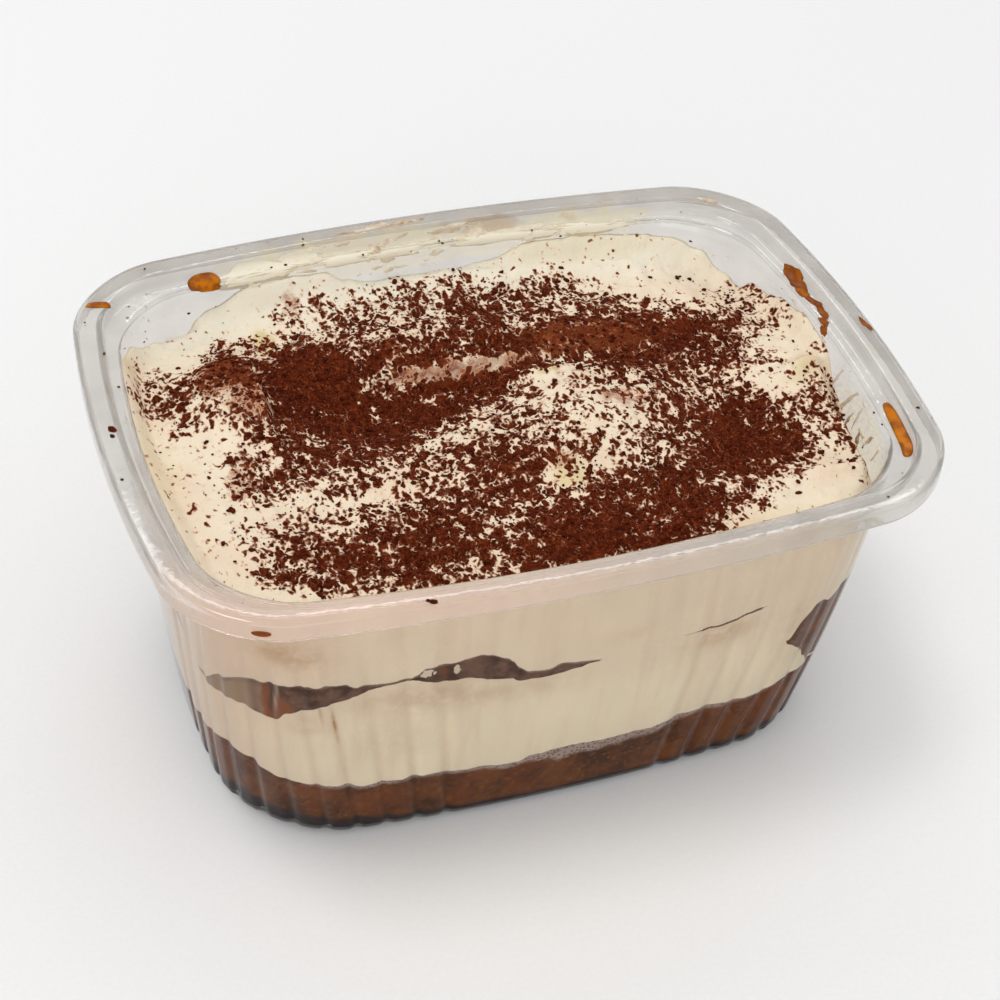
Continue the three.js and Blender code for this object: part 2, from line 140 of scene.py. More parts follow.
class TubForm:
    """The tub's outline at each height."""

    def __init__(self, tub):
        self.half_length = tub.length / MM / 2
        self.half_width = tub.width / MM / 2
        self.height = tub.height / MM
        self.sheet = tub.sheet / MM
        self.flute = tub.flute_depth / MM
        self.wall_top = self.height - LEDGE_DROP - self.sheet
        base = self.wall(BASE_FILLET_HEIGHT)
        self.straight_long = base.half_x - base.corner
        self.straight_short = base.half_y - base.corner
        self.arc = base.corner * math.pi / 2
        self.quarter_length = self.straight_long + self.arc + self.straight_short
        self.flutes_end = self.quarter_length - SHORT_PANEL_HALF
        run = self.flutes_end - LONG_PANEL_HALF
        self.flute_count = round(run / (tub.flute_pitch / MM))
        self.pitch = run / self.flute_count

    def outline(self, inset, corner, bow_part):
        long_bow = mix(LONG_SIDE_BOW, BASE_BOW, bow_part)
        short_bow = mix(SHORT_SIDE_BOW, BASE_BOW, bow_part)
        half_x = self.half_length - inset - short_bow
        half_y = self.half_width - inset - long_bow
        return Outline(half_x, half_y, corner, long_bow, short_bow)

    def rim(self, inset, corner=None):
        return self.outline(inset, RIM_CORNER_RADIUS - inset if corner is None else corner, 0)

    def wall_part(self, z):
        return clamp01((self.wall_top - z) / (self.wall_top - BASE_FILLET_HEIGHT))

    def wall(self, z, extra=0.0):
        part = self.wall_part(z)
        inset = mix(WALL_TOP_INSET, WALL_BASE_INSET, part**WALL_CURVE)
        corner = mix(WALL_TOP_CORNER_RADIUS, WALL_BASE_CORNER_RADIUS, part)
        return self.outline(inset + extra, corner, part)

    def flute_depth(self, z):
        return self.flute * self.wall_part(z) ** 0.8

    def quarter(self, along, outline):
        """Point on a quarter, from the middle of the long side to the middle of the short one."""
        half_x, half_y, corner, long_bow, short_bow = outline
        distance = along * self.quarter_length
        x, y = half_x, half_y
        if distance < self.straight_long:
            x = (half_x - corner) * distance / self.straight_long
        elif distance < self.straight_long + self.arc:
            angle = math.pi / 2 * (1 - (distance - self.straight_long) / self.arc)
            x = half_x - corner + corner * math.cos(angle)
            y = half_y - corner + corner * math.sin(angle)
        else:
            past = distance - self.straight_long - self.arc
            y = (half_y - corner) * (1 - past / self.straight_short)
        return (
            x + short_bow * (1 - (y / half_y) ** 2) * (x / half_x),
            y + long_bow * (1 - (x / half_x) ** 2) * (y / half_y),
        )

    def groove(self, along):
        """Depth of the flutes' grooves, 1 at the middle of a groove and 0 on the crests and panels."""
        turn = (along * self.quarter_length - LONG_PANEL_HALF) / self.pitch
        nearest = round(turn)
        if not 0 <= nearest <= self.flute_count:
            return 0.0
        return 0.5 + 0.5 * math.cos(math.pi * min(1.0, abs(turn - nearest) / 0.3))

    def point(self, place, outline, dent=0.0):
        """Point of an outline at a place, with the flutes pressed in by dent."""
        quadrant = int(place) % 4
        along = place % 1
        if quadrant % 2 == 0:
            along = 1 - along
        x, y = self.quarter(along, outline)
        depth = dent * self.groove(along) if dent else 0.0
        if depth:
            half_x, half_y, corner = outline.half_x - 1, outline.half_y - 1, outline.corner - 1
            inner_x, inner_y = self.quarter(
                along, outline._replace(half_x=half_x, half_y=half_y, corner=corner)
            )
            length = math.hypot(inner_x - x, inner_y - y)
            x += (inner_x - x) / length * depth
            y += (inner_y - y) / length * depth
        return x if quadrant in (0, 3) else -x, y if quadrant < 2 else -y

    def inside(self, z, inset=0.0):
        """Outline of the food at height z: just into the inner face of the wall or the fillet."""
        above = (z - self.sheet) / BASE_FILLET_HEIGHT
        if above >= 1:
            return self.wall(z, self.sheet - REACH + inset)
        out = math.sqrt(1 - (1 - max(0.0, above)) ** 2)
        base_inset = mix(BASE_EDGE_INSET, WALL_BASE_INSET, out)
        corner = WALL_BASE_CORNER_RADIUS - (base_inset - WALL_BASE_INSET)
        return self.outline(base_inset + self.sheet - REACH + inset, corner, 1)

    def skin(self, place, run):
        """Point on the tub's upper face.

        The run is the way in from its outer edge, and goes down the skirt below 0.
        """
        stops = self.skin_stops
        if run < 0:
            return Vector((*self.point(place, self.rim(0)), self.height + run))
        for (start, inset, z), (end, next_inset, next_z) in zip(stops, stops[1:]):
            if run <= end:
                part = (run - start) / (end - start)
                outline = self.rim(mix(inset, next_inset, part))
                return Vector((*self.point(place, outline), mix(z, next_z, part)))
        z = self.wall_top - self.sheet - (run - stops[-1][0])
        return Vector((*self.point(place, self.wall(z, self.sheet), self.flute_depth(z)), z))

    @property
    def skin_stops(self):
        """Run, inset and height of the corners of the rim's upper face, up to the top of the wall."""
        corners = [
            (0.5, self.height),
            (FLANGE_WIDTH, self.height),
            (LEDGE_START, self.height - LEDGE_DROP),
            (LEDGE_START + LEDGE_WIDTH, self.height - LEDGE_DROP),
            (WALL_TOP_INSET + self.sheet, self.wall_top - self.sheet),
        ]
        stops, run = [], 0.0
        for i, (inset, z) in enumerate(corners):
            if i:
                run += math.hypot(inset - corners[i - 1][0], z - corners[i - 1][1])
            stops.append((run, inset, z))
        return stops


# ---- The food's surfaces ------------------------------------------------------------------------

# Where the middle sponge lies at the wall: place, its lower and its upper edge. Where they meet, it
# is set back from the wall.
MIDDLE_EDGE = [
    (0.0, 38.4, 43.6), (0.22, 40.0, 41.0), (0.45, 39.8, 39.8), (0.62, 38.0, 40.6),
    (0.85, 37.6, 43.2), (1.1, 39.6, 40.4), (1.28, 40.0, 43.4), (1.45, 39.2, 43.8),
    (1.62, 41.2, 41.2), (1.85, 38.8, 43.6), (2.05, 39.6, 44.6), (2.18, 36.6, 36.6),
    (2.24, 33.0, 33.8), (2.30, 33.0, 37.8), (2.36, 33.6, 40.5), (2.40, 33.0, 42.0),
    (2.435, 32.0, 41.9), (2.46, 34.8, 42.0), (2.50, 36.0, 42.3), (2.54, 37.0, 42.0),
    (2.59, 38.2, 42.1), (2.605, 38.8, 41.1), (2.66, 40.4, 41.0), (2.70, 40.5, 41.2),
    (2.714, 40.2, 41.9), (2.725, 39.9, 43.2), (2.75, 39.2, 43.3), (2.80, 39.0, 44.0),
    (2.82, 38.4, 44.5), (2.838, 37.7, 44.1), (2.868, 37.0, 42.4), (2.878, 36.7, 41.4),
    (2.891, 35.9, 39.4), (2.91, 35.8, 37.8), (2.945, 35.5, 37.5), (2.972, 35.8, 38.5),
    (3.00, 36.2, 37.7), (3.03, 36.8, 37.6), (3.055, 36.9, 36.9), (3.18, 38.3, 38.3),
    (3.205, 38.3, 38.6), (3.25, 38.2, 38.8), (3.30, 38.7, 39.3), (3.34, 39.9, 40.5),
    (3.375, 40.8, 40.8), (3.41, 34.0, 34.0), (3.438, 28.8, 28.8), (3.450, 27.6, 28.8),
    (3.457, 27.4, 31.4), (3.463, 27.3, 33.6), (3.474, 26.8, 35.2), (3.486, 25.8, 37.0),
    (3.51, 23.8, 36.6), (3.53, 21.4, 35.9), (3.56, 18.6, 37.0), (3.62, 17.4, 37.6),
    (3.72, 30.0, 36.4), (3.84, 35.0, 38.0), (4.0, 38.4, 43.6),
]

# Upper edge of the base sponge at the wall.
BASE_EDGE = [
    (0.0, 14.0), (0.35, 15.2), (0.5, 18.0), (0.66, 15.6), (1.0, 13.6), (1.38, 15.0), (1.5, 18.2),
    (1.64, 16.0), (2.0, 13.6), (2.15, 14.0), (2.23, 16.8), (2.29, 19.0), (2.365, 18.2),
    (2.385, 16.6), (2.43, 15.2), (2.55, 14.8), (2.60, 14.0), (2.66, 14.2), (2.725, 14.5),
    (2.76, 13.8), (2.825, 13.8), (2.88, 13.0), (2.905, 13.0), (2.93, 14.1), (3.03, 14.8),
    (3.08, 14.2), (3.20, 14.3), (3.26, 15.8), (3.30, 16.2), (3.40, 15.5), (3.44, 15.8),
    (3.49, 17.5), (3.60, 17.6), (3.75, 15.0), (4.0, 14.0),
]

# Thickness of the frothy band on top of the base sponge, seen at the wall.
FROTH_EDGE = [
    (2.40, 0.0), (2.60, 0.7), (2.76, 0.5), (2.90, 1.0), (2.95, 1.8), (3.0, 3.4), (3.04, 3.0),
    (3.10, 2.2), (3.20, 1.6), (3.30, 0.8), (3.44, 0.3), (3.50, 0.0),
]

# Level of the dark band under the base sponge: gathered coffee, and painted shade at the foot of the
# tub.
POOL_AND_SHADE_EDGE = [
    (0.0, 3.0), (1.0, 3.2), (2.0, 4.0), (2.35, 5.6), (2.55, 4.8), (2.7, 3.0), (3.0, 2.4),
    (3.3, 2.6), (3.5, 3.6), (4.0, 3.0),
]

MIDDLE_LEVEL = 40
MIDDLE_THICKNESS = 4.6
MIDDLE_SETBACK = 3
BASE_LEVEL = 14.4
PLACE_LENGTH = 82  # millimetres along the wall from one place to the next

# The cream's hills and hollows: centre, half sizes and height.
CREAM_HILLS = [
    (-43, 13, 8, 13, 2.4), (-16, 8, 20, 9, -3.2), (-4, 23, 34, 7, 2.0), (15, -5, 13, 12, 3.4),
    (41, -15, 11, 9, -1.4), (55, -3, 7, 8, 2.2), (-57, -14, 9, 20, 2.4), (-20, -30, 22, 8, -0.8),
    (-52, 36, 13, 9, -2.4), (56, 33, 9, 9, -3.4), (0, 46, 34, 7, 2.6), (-32, 46, 9, 4, 1.2),
    (42, 44, 10, 5, 1.4), (10, -46, 60, 7, -2.6),
]
# Smaller folds and crests of the spooned cream.
CREAM_FOLDS = [
    (22, 6, 9, 2.0, 1.2), (12, 10, 5, 1.8, 0.9), (28, -2, 7, 2.4, 0.8), (59.5, -2.2, 4.6, 1.1, 2.0),
    (58.5, 0.1, 4.8, 0.7, -1.3), (50, -29, 10, 1.6, 1.2), (-58, 4, 2, 16, -0.6),
    (-60, -6, 3, 12, 0.7), (4, -12, 9, 2.2, 0.6), (30, 17, 12, 3.0, 0.9), (-30, -16, 12, 2.6, -0.5),
    (-47, -8, 3.0, 8, 0.7), (44, -35, 12, 4, 0.8), (33, 38, 16, 3, 0.8), (-24, 40, 9, 3, 0.7),
]
CREAM_LEVEL = 55.8
CREAM_EDGE_TOP = 60.7
CREASE_HEIGHT = 2.2
SHELF_HEIGHT = 1.7
SPOON_RIDGE_HEIGHT = 0.55
COCOA_DEPTH = 0.2
NO_COCOA = -1.0  # a level that no noise lifts into view
BLOT_STEP = 0.16  # how much one spread of the blots' noise counts in their level


def uneven_along(place, size, seed):
    """Unevenness along the wall."""
    return uneven(place * PLACE_LENGTH, 0, size, seed)


def floor_level(x, y, place, inset):
    """Height of the food's underside, which is flat."""
    return FOOD_FLOOR


def base_level(x, y, place, inset):
    """Height of the base sponge's upper face."""
    edge = along_line(BASE_EDGE, place)[0] + 0.3 * uneven_along(place, 2.6, 5.2)
    middle = BASE_LEVEL + 0.5 * uneven(x, y, 12, 3.1)
    return mix(edge, middle, smooth_step(0, 12, inset)) + 0.12 * uneven(x, y, 2.5, 8.3)


def middle_faces(x, y, place, inset):
    """Lower and upper face of the middle sponge."""
    low, high = along_line(MIDDLE_EDGE, place)
    ragged = smooth_step(0.3, 1.2, high - low)
    low += 0.35 * ragged * uneven_along(place, 2.4, 1.4)
    high += 0.35 * ragged * uneven_along(place, 2.4, 8.8)
    level = MIDDLE_LEVEL + 1.1 * uneven(x, y, 24, 5.7)
    centre = mix((low + high) / 2, level, smooth_step(0, 12, inset))
    thickness = mix(high - low, MIDDLE_THICKNESS, smooth_step(2, 9, inset))
    wave = 0.1 * uneven(x, y, 2.0, 4.4)
    return centre - thickness / 2 + wave, centre + thickness / 2 + wave


def shelf_line(x):
    """Where the lip of the shelf behind the hollow runs."""
    return 14.2 - 0.08 * x + 0.9 * noise.noise(Vector((x / 6, 0.3, 8.8)))


def crease_line(y):
    """Where the crease at the foot of the left hill runs."""
    curve = 0.02 * (y - 8) - 0.012 * max(0.0, y - 15) ** 2
    return -38.4 + curve + 0.4 * noise.noise(Vector((y / 5, 2.1, 3.3)))


def cream_level(x, y):
    """Height of the cream's upper face."""
    level = CREAM_LEVEL + 0.4 * uneven(x, y, 18, 1.9)
    for cx, cy, rx, ry, height in CREAM_HILLS + CREAM_FOLDS:
        level += height * bump(x, y, cx, cy, rx, ry)
    # The left hill ends in a crease on its right, and a shelf of cream stands behind the hollow.
    crease = x - crease_line(y)
    fold = (1 - smooth_step(-0.7, 0.9, crease)) * smooth_step(-54, -42, x)
    fold += 0.22 * math.exp(-(((crease + 0.7) / 0.6) ** 2))
    level += CREASE_HEIGHT * fold * math.exp(-(((y - 13) / 12) ** 2))
    lip = y - shelf_line(x)
    shelf = smooth_step(-0.3, 0.6, lip) + 0.25 * math.exp(-(((lip - 0.7) / 0.7) ** 2))
    shelf *= math.exp(-(((x + 4) / 14) ** 4)) * (1 - smooth_step(6, 16, lip))
    level += SHELF_HEIGHT * shelf
    # Ridges that the spoon left.
    pulled = noise.noise(Vector((x / 9 + 0.8 * uneven(x, y, 9, 6.6), y / 3.4, 7.7)))
    ridges = max(0.0, 1 - 3.2 * abs(pulled)) * smooth_step(0.0, 0.5, uneven(x, y, 15, 4.9) + 0.3)
    level += SPOON_RIDGE_HEIGHT * ridges
    return level + 0.45 * uneven(x, y, 5.5, 2.3, 2) + 0.3 * uneven(x, y, 2.4, 9.1, 3)


# Where the cocoa lies: centre, half sizes, turn in degrees and how thickly.
COCOA_PLACES = [
    (-29, 18, 11, 10, 0, 0.97), (-17, 7, 14, 8, 8, 0.96), (-2, 8.5, 10, 4, 0, 0.85),
    (-33, 6, 8, 8, 0, 0.85), (-42, 22, 7, 6, 0, 0.75), (-54, 19, 7, 6, 10, 0.5),
    (-43, 14, 5, 10, 0, 0.5), (-22, 13, 6, 5, 0, 0.6), (-12, 19, 8, 5, 0, 0.75),
    (-2, 17, 8, 5, 0, 0.65), (8, 19, 9, 6, 0, 0.75), (20, 17, 13, 6, 0, 0.85),
    (33, 14, 13, 8, 0, 0.9), (44, 12, 8, 8, 0, 0.7), (27, 8, 8, 3.4, 0, 0.7),
    (39, 21, 7, 4, -10, 0.45), (49, 16, 5, 5, 0, 0.5), (-24, 27, 17, 5, 0, 0.55),
    (-36, 31, 4, 3, 0, 0.3), (-13, 34, 8, 6, 0, 0.38), (-5, 33, 5, 8, 0, 0.6),
    (5, 31, 6, 9, 0, 0.7), (14, 28, 9, 8, 0, 0.5), (22, 29, 8, 8, 0, 0.44), (-28, 36, 3, 4, 0, 0.3),
    (-21, 36, 3, 5, 0, 0.4), (-2, 26, 6, 4, 0, 0.4), (-35, -1, 10, 6, 0, 0.66),
    (-22, -4, 9, 6, 0, 0.66), (-46, -6, 4, 6, 0, 0.4), (-28, -9, 10, 4, 0, 0.42),
    (-6, -8, 7, 6, 0, 0.5), (3, -8, 6, 7, 0, 0.46), (-4, -14, 7, 6, 0, 0.72),
    (-13, -13, 7, 7, 0, 0.42), (1, 3, 7, 4, 0, 0.35), (12, -6, 14, 12, 0, 0.2),
    (30, 0, 9, 7, 0, 0.5), (39, 4, 7, 5, 0, 0.5), (43, -4, 5, 4, 0, 0.45), (33, -9, 7, 6, 0, 0.62),
    (42, -11, 8, 8, 0, 0.85), (38, -19, 10, 8, 0, 0.95), (47, -18, 5, 5, 0, 0.6),
    (55, -13, 6, 8, 0, 0.42), (24, -17, 8, 7, 0, 0.5), (-41, -28, 9, 6, -8, 0.78),
    (-25, -28, 12, 8, 0, 0.8), (-32, -20, 17, 5, 0, 0.4), (-14, -24, 9, 8, 0, 0.62),
    (0, -31, 14, 8, 0, 0.92), (16, -31, 14, 8, 0, 0.82), (26, -26, 9, 7, 0, 0.84),
    (-4, -22, 8, 5, 0, 0.6), (12, -23, 10, 4, 0, 0.6), (0, -38, 17, 3.4, 0, 0.85),
    (17, -37, 8, 3.4, 0, 0.5), (-18, -36, 9, 5, 0, 0.3), (56, 18, 8, 8, 0, 0.28),
    (60, -12, 4, 7, 0, 0.2), (61.5, -3, 1.6, 5, 6, 0.4), (55, -30, 3, 6, 0, 0.2),
    (-43, 18, 5, 8, 0, 0.6), (-42, 31, 3, 3, 0, 0.5), (-52, 11, 4, 3, 0, 0.25),
    (-55, 27, 4, 3, 0, 0.3), (-18, 20, 5, 3, 0, 0.5), (9, 12, 6, 3, -10, 0.75),
    (21, 5, 6, 4, 0, 0.5), (30, 26, 6, 4, 0, 0.5), (48, 4, 6, 3, 0, 0.4), (60, 27, 4, 4, 0, 0.2),
    (-40, -8, 4, 4, 0, 0.35), (-24, -31, 5, 6, 0, 0.5), (-35, -33, 7, 3, 0, 0.45),
    (8, -17, 3, 6, 0, 0.45), (45, -25, 5, 3, 0, 0.45), (35, -31, 3, 4, 0, 0.4),
    (56, -20, 3, 6, 0, 0.25), (55, -32, 3, 4, 0, 0.4), (0, 0, 58, 38, 0, 0.08),
]
# Cream left bare between them.
BARE_PLACES = [
    (15, 2, 5, 7, 0, 0.3), (15, -8, 6, 4, 0, 0.2), (-1, 30, 3, 3, 0, 0.6), (-9, 31, 3, 3, 0, 0.5),
    (-24, 28, 3, 3, 0, 0.6), (12, 23, 3, 3, 0, 0.4), (19, 31, 4, 2, 0, 0.5),
    (5, -18, 3, 2.4, 0, 0.6), (-44.5, 14, 3, 5, 10, 0.3), (-33, 3, 4, 2, 0, 0.3),
    (-6, -4, 4, 2, 0, 0.4), (-24, -8, 6, 2, 0, 0.5), (-46, -24, 3, 4, 0, 0.3),
    (-8, -26, 3, 5, 0, 0.35), (31, -27, 2, 2, 0, 0.4), (38, 19, 4, 2, 0, 0.25),
    (48, -34, 11, 4, 14, 0.9), (-19.3, 9.5, 0.8, 2.4, 0, 0.6), (59.5, -1.8, 4.4, 1.5, -8, 0.95),
]
# Thin red-brown dust rubbed into the cream.
DUST_PLACES = [
    (-44, 20, 6.5, 7, 20, 1.0), (-41.5, 13, 4.5, 7, 0, 1.0), (22, 17, 14, 5.4, -8, 1.0),
    (22, -3, 6, 3.4, 0, 0.7), (16, 6, 3, 6, 20, 0.5), (-47, -6, 3, 6, -20, 0.7),
    (5, -14, 9, 4, 0, 0.5), (-40, -28, 8, 5, 0, 0.3), (-27, 40, 2.4, 4, 0, 0.6),
    (-8, 36, 9, 3, 0, 0.5), (30, 8, 10, 4, 0, 0.6), (-10, 19, 9, 2.4, 0, 0.6),
    (-4, 14.8, 17, 1.7, -4, 0.8),
]
# Yellow mascarpone that shows through the whipped cream.
YOLK_PLACES = [
    (-34, 31, 1.5, 5, -6, 0.9), (-60, 28, 4, 4, 0, 0.4), (12.5, 9.8, 2.2, 1.3, 0, 0.8),
    (6, -18, 4, 2.6, 0, 0.7), (-60, -4, 4, 14, 0, 0.3), (56, -4, 4, 2, 0, 0.5),
    (35, -38, 26, 4, 0, 0.2), (30, 42, 20, 4, 0, 0.3),
]


def spread(x, y, places):
    """How thickly something lies, 0 to 1: its places joined softly."""
    clear = 1.0
    for cx, cy, rx, ry, turn, amount in places:
        dx, dy = x - cx, y - cy
        if abs(dx) > 2.2 * max(rx, ry) or abs(dy) > 2.2 * max(rx, ry):
            continue
        angle = math.radians(turn)
        u = (dx * math.cos(angle) + dy * math.sin(angle)) / rx
        v = (dy * math.cos(angle) - dx * math.sin(angle)) / ry
        clear *= 1 - amount * (1 - smooth_step(0.45, 1.45, math.hypot(u, v)))
    return 1 - clear


def wander(x, y, size, amount, seed):
    """A place moved a little at random, so that patches get ragged outlines."""
    return (
        x + amount * uneven(x, y, size, seed),
        y + amount * uneven(x, y, size, seed + 17.3),
    )


def cocoa_amount(x, y):
    """How much of the cream the cocoa covers, 0 to 1."""
    near_x, near_y = wander(x, y, 7, 1.2, 12.5)
    amount = spread(near_x, near_y, COCOA_PLACES) * smooth_step(-40.5, -37, y)
    amount *= 1 - spread(near_x, near_y, BARE_PLACES)
    # Cocoa fills the foot of the shelf; its face and the crest of the crease stay bare.
    lip = y - shelf_line(x)
    amount = max(amount, 0.97 * math.exp(-(((lip + 1.7) / 1.3) ** 4) - ((x + 3) / 13) ** 6))
    face = math.exp(-(((lip - 0.45) / 0.7) ** 4) - ((x + 3) / 15) ** 6)
    # The crest of the crease keeps less cocoa, and its lighter line is partly a painted highlight.
    bare_crest_and_highlight = math.exp(-(((x - crease_line(y) + 0.3) / 0.4) ** 2)) * math.exp(-(((y - 13) / 10) ** 4))
    return amount * (1 - 0.88 * face) * (1 - 0.5 * bare_crest_and_highlight)


# Height of the cream's edge on the wall, where it is smeared up or pulled down: place and height.
CREAM_EDGE = [
    (0.0, 59.6), (0.05, 60.4), (0.116, 59.2), (0.2, 56.0), (0.288, 52.8), (0.34, 54.2),
    (0.408, 57.1), (0.5, 58.8), (0.58, 59.4), (0.66, 60.3), (0.8, 60.3), (0.86, 57.4), (0.92, 56.5),
    (1.1, 56.4), (1.15, 57.6), (1.19, 60.4), (1.33, 60.4), (1.404, 57.2), (1.472, 53.0),
    (1.53, 53.4), (1.592, 55.1), (1.7, 58.6), (1.8, 60.3), (1.95, 60.4), (2.2, 60.5), (2.46, 60.4),
    (2.6, 60.0), (3.2, 59.2), (3.45, 57.0), (3.6, 53.0), (3.75, 50.6), (3.876, 50.8), (3.944, 54.2),
    (4.0, 59.6),
]


def cream_surface(x, y, place, inset):
    """Height of the cream's upper face with its edge on the wall."""
    edge = along_line(CREAM_EDGE, place)[0] + 0.45 * uneven_along(place, 4, 3.8)
    edge = min(edge, CREAM_EDGE_TOP)
    return mix(edge, cream_level(x, y), smooth_step(0.0, 3.6, inset))


def cocoa_cover(x, y):
    """How closely the cocoa's blots lie, as a level that the finish adds its noise to."""
    amount = min(0.985, max(0.012, cocoa_amount(x, y)))
    return 0.5 + BLOT_STEP * math.log(amount / (1 - amount)) / 1.7


# ---- Mesh helpers -------------------------------------------------------------------------------


def next_loop(bm, edges, position):
    """Extrudes a loop of edges and moves each new vertex to where position says."""
    grown = bmesh.ops.extrude_edge_only(bm, edges=edges)["geom"]
    for item in grown:
        if isinstance(item, bmesh.types.BMVert):
            item.co = position(item)
    return [item for item in grown if isinstance(item, bmesh.types.BMEdge)]


def first_loop(bm, count, place_layer, position):
    """A closed loop of vertices that each know their place on the outline."""
    verts = bmesh.ops.create_circle(bm, segments=count, radius=1.0)["verts"]
    for index, vert in enumerate(verts):
        vert[place_layer] = 4 * index / count
        vert.co = position(vert)
    return bm.edges[:]


def add_piece(bm, name, material, replaces=()):
    """Turns a mesh in millimetres into a piece of the object in metres."""
    bmesh.ops.scale(bm, vec=(MM, MM, MM), verts=bm.verts[:])
    bmesh.ops.recalc_face_normals(bm, faces=bm.faces[:])
    mesh = bpy.data.meshes.new(name)
    bm.to_mesh(mesh)
    bm.free()
    return link_piece(mesh, name, material, replaces)


def link_piece(mesh, name, material, replaces=()):
    """Makes a mesh in metres a piece of the object."""
    mesh.materials.append(material)
    mesh.shade_smooth()
    mesh.set_sharp_from_angle(angle=math.radians(50))
    piece = bpy.data.objects.new(name, mesh)
    bpy.context.scene.collection.objects.link(piece)
    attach(piece, "root")
    if replaces:
        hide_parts(*replaces)
    return piece


# ---- Materials ----------------------------------------------------------------------------------

# Plain names for the nodes used most: type, settings, the sockets that values go to, and output.
NODE_NAMES = {
    "blend": ("ShaderNodeMix", {"data_type": "RGBA"}, (0, 6, 7), 2),
    "ramp": ("ShaderNodeMapRange", {"interpolation_type": "SMOOTHSTEP"}, range(5), 0),
    "scaled": ("ShaderNodeMapping", {}, ("Vector", "Scale"), 0),
    "painted": ("ShaderNodeAttribute", {}, (), "Fac"),
    "cells": ("ShaderNodeTexVoronoi", {}, ("Vector", "Scale"), "Distance"),
    "cloud": (
        "ShaderNodeTexNoise",
        {},
        ("Vector", "Scale", "Detail", "Roughness", "Distortion"),
        "Fac",
    ),
}
for operation in ("MULTIPLY", "MULTIPLY_ADD", "SUBTRACT", "ABSOLUTE", "MAXIMUM"):
    NODE_NAMES[operation] = ("ShaderNodeMath", {"operation": operation}, range(3), 0)


def add_node(tree, kind, *values, output=0, sockets=None, **settings):
    """Adds a node, sets its settings, fills or links its sockets and gives one of its outputs.

    The kind is the node's type or one of the plain names. Values go to the sockets in order.
    """
    kind, preset, order, output = NODE_NAMES.get(kind, (kind, {}, range(len(values)), output))
    made = tree.nodes.new(kind)
    for name, value in {**preset, **settings}.items():
        setattr(made, name, value)
    for key, value in [*zip(order, values), *(sockets or {}).items()]:
        if isinstance(value, bpy.types.NodeSocket):
            tree.links.new(value, made.inputs[key])
        else:
            made.inputs[key].default_value = value
    return made.outputs[output] if made.outputs else None


def new_material(name):
    """An empty material, the helper that adds its nodes, and object coordinates in millimetres."""
    material = bpy.data.materials.new(name)
    material.use_nodes = True
    material.node_tree.nodes.clear()
    add = partial(add_node, material.node_tree)
    metres = add("ShaderNodeTexCoord", output="Object")
    return material, add, add("scaled", metres, (1 / MM, 1 / MM, 1 / MM))


def relief_shader(add, height, strength, depth, sockets):
    """The shader of a surface whose fine relief is depth millimetres deep."""
    relief = {"Height": height, "Strength": strength, "Distance": depth * MM}
    normal = add("ShaderNodeBump", sockets=relief)
    return add("ShaderNodeBsdfPrincipled", sockets={"Normal": normal, **sockets})


def threads_of(add, noise_value):
    """Thin lines along the middle level of a noise: 0 on them, rising to both sides."""
    return add("ABSOLUTE", add("SUBTRACT", noise_value, 0.498))


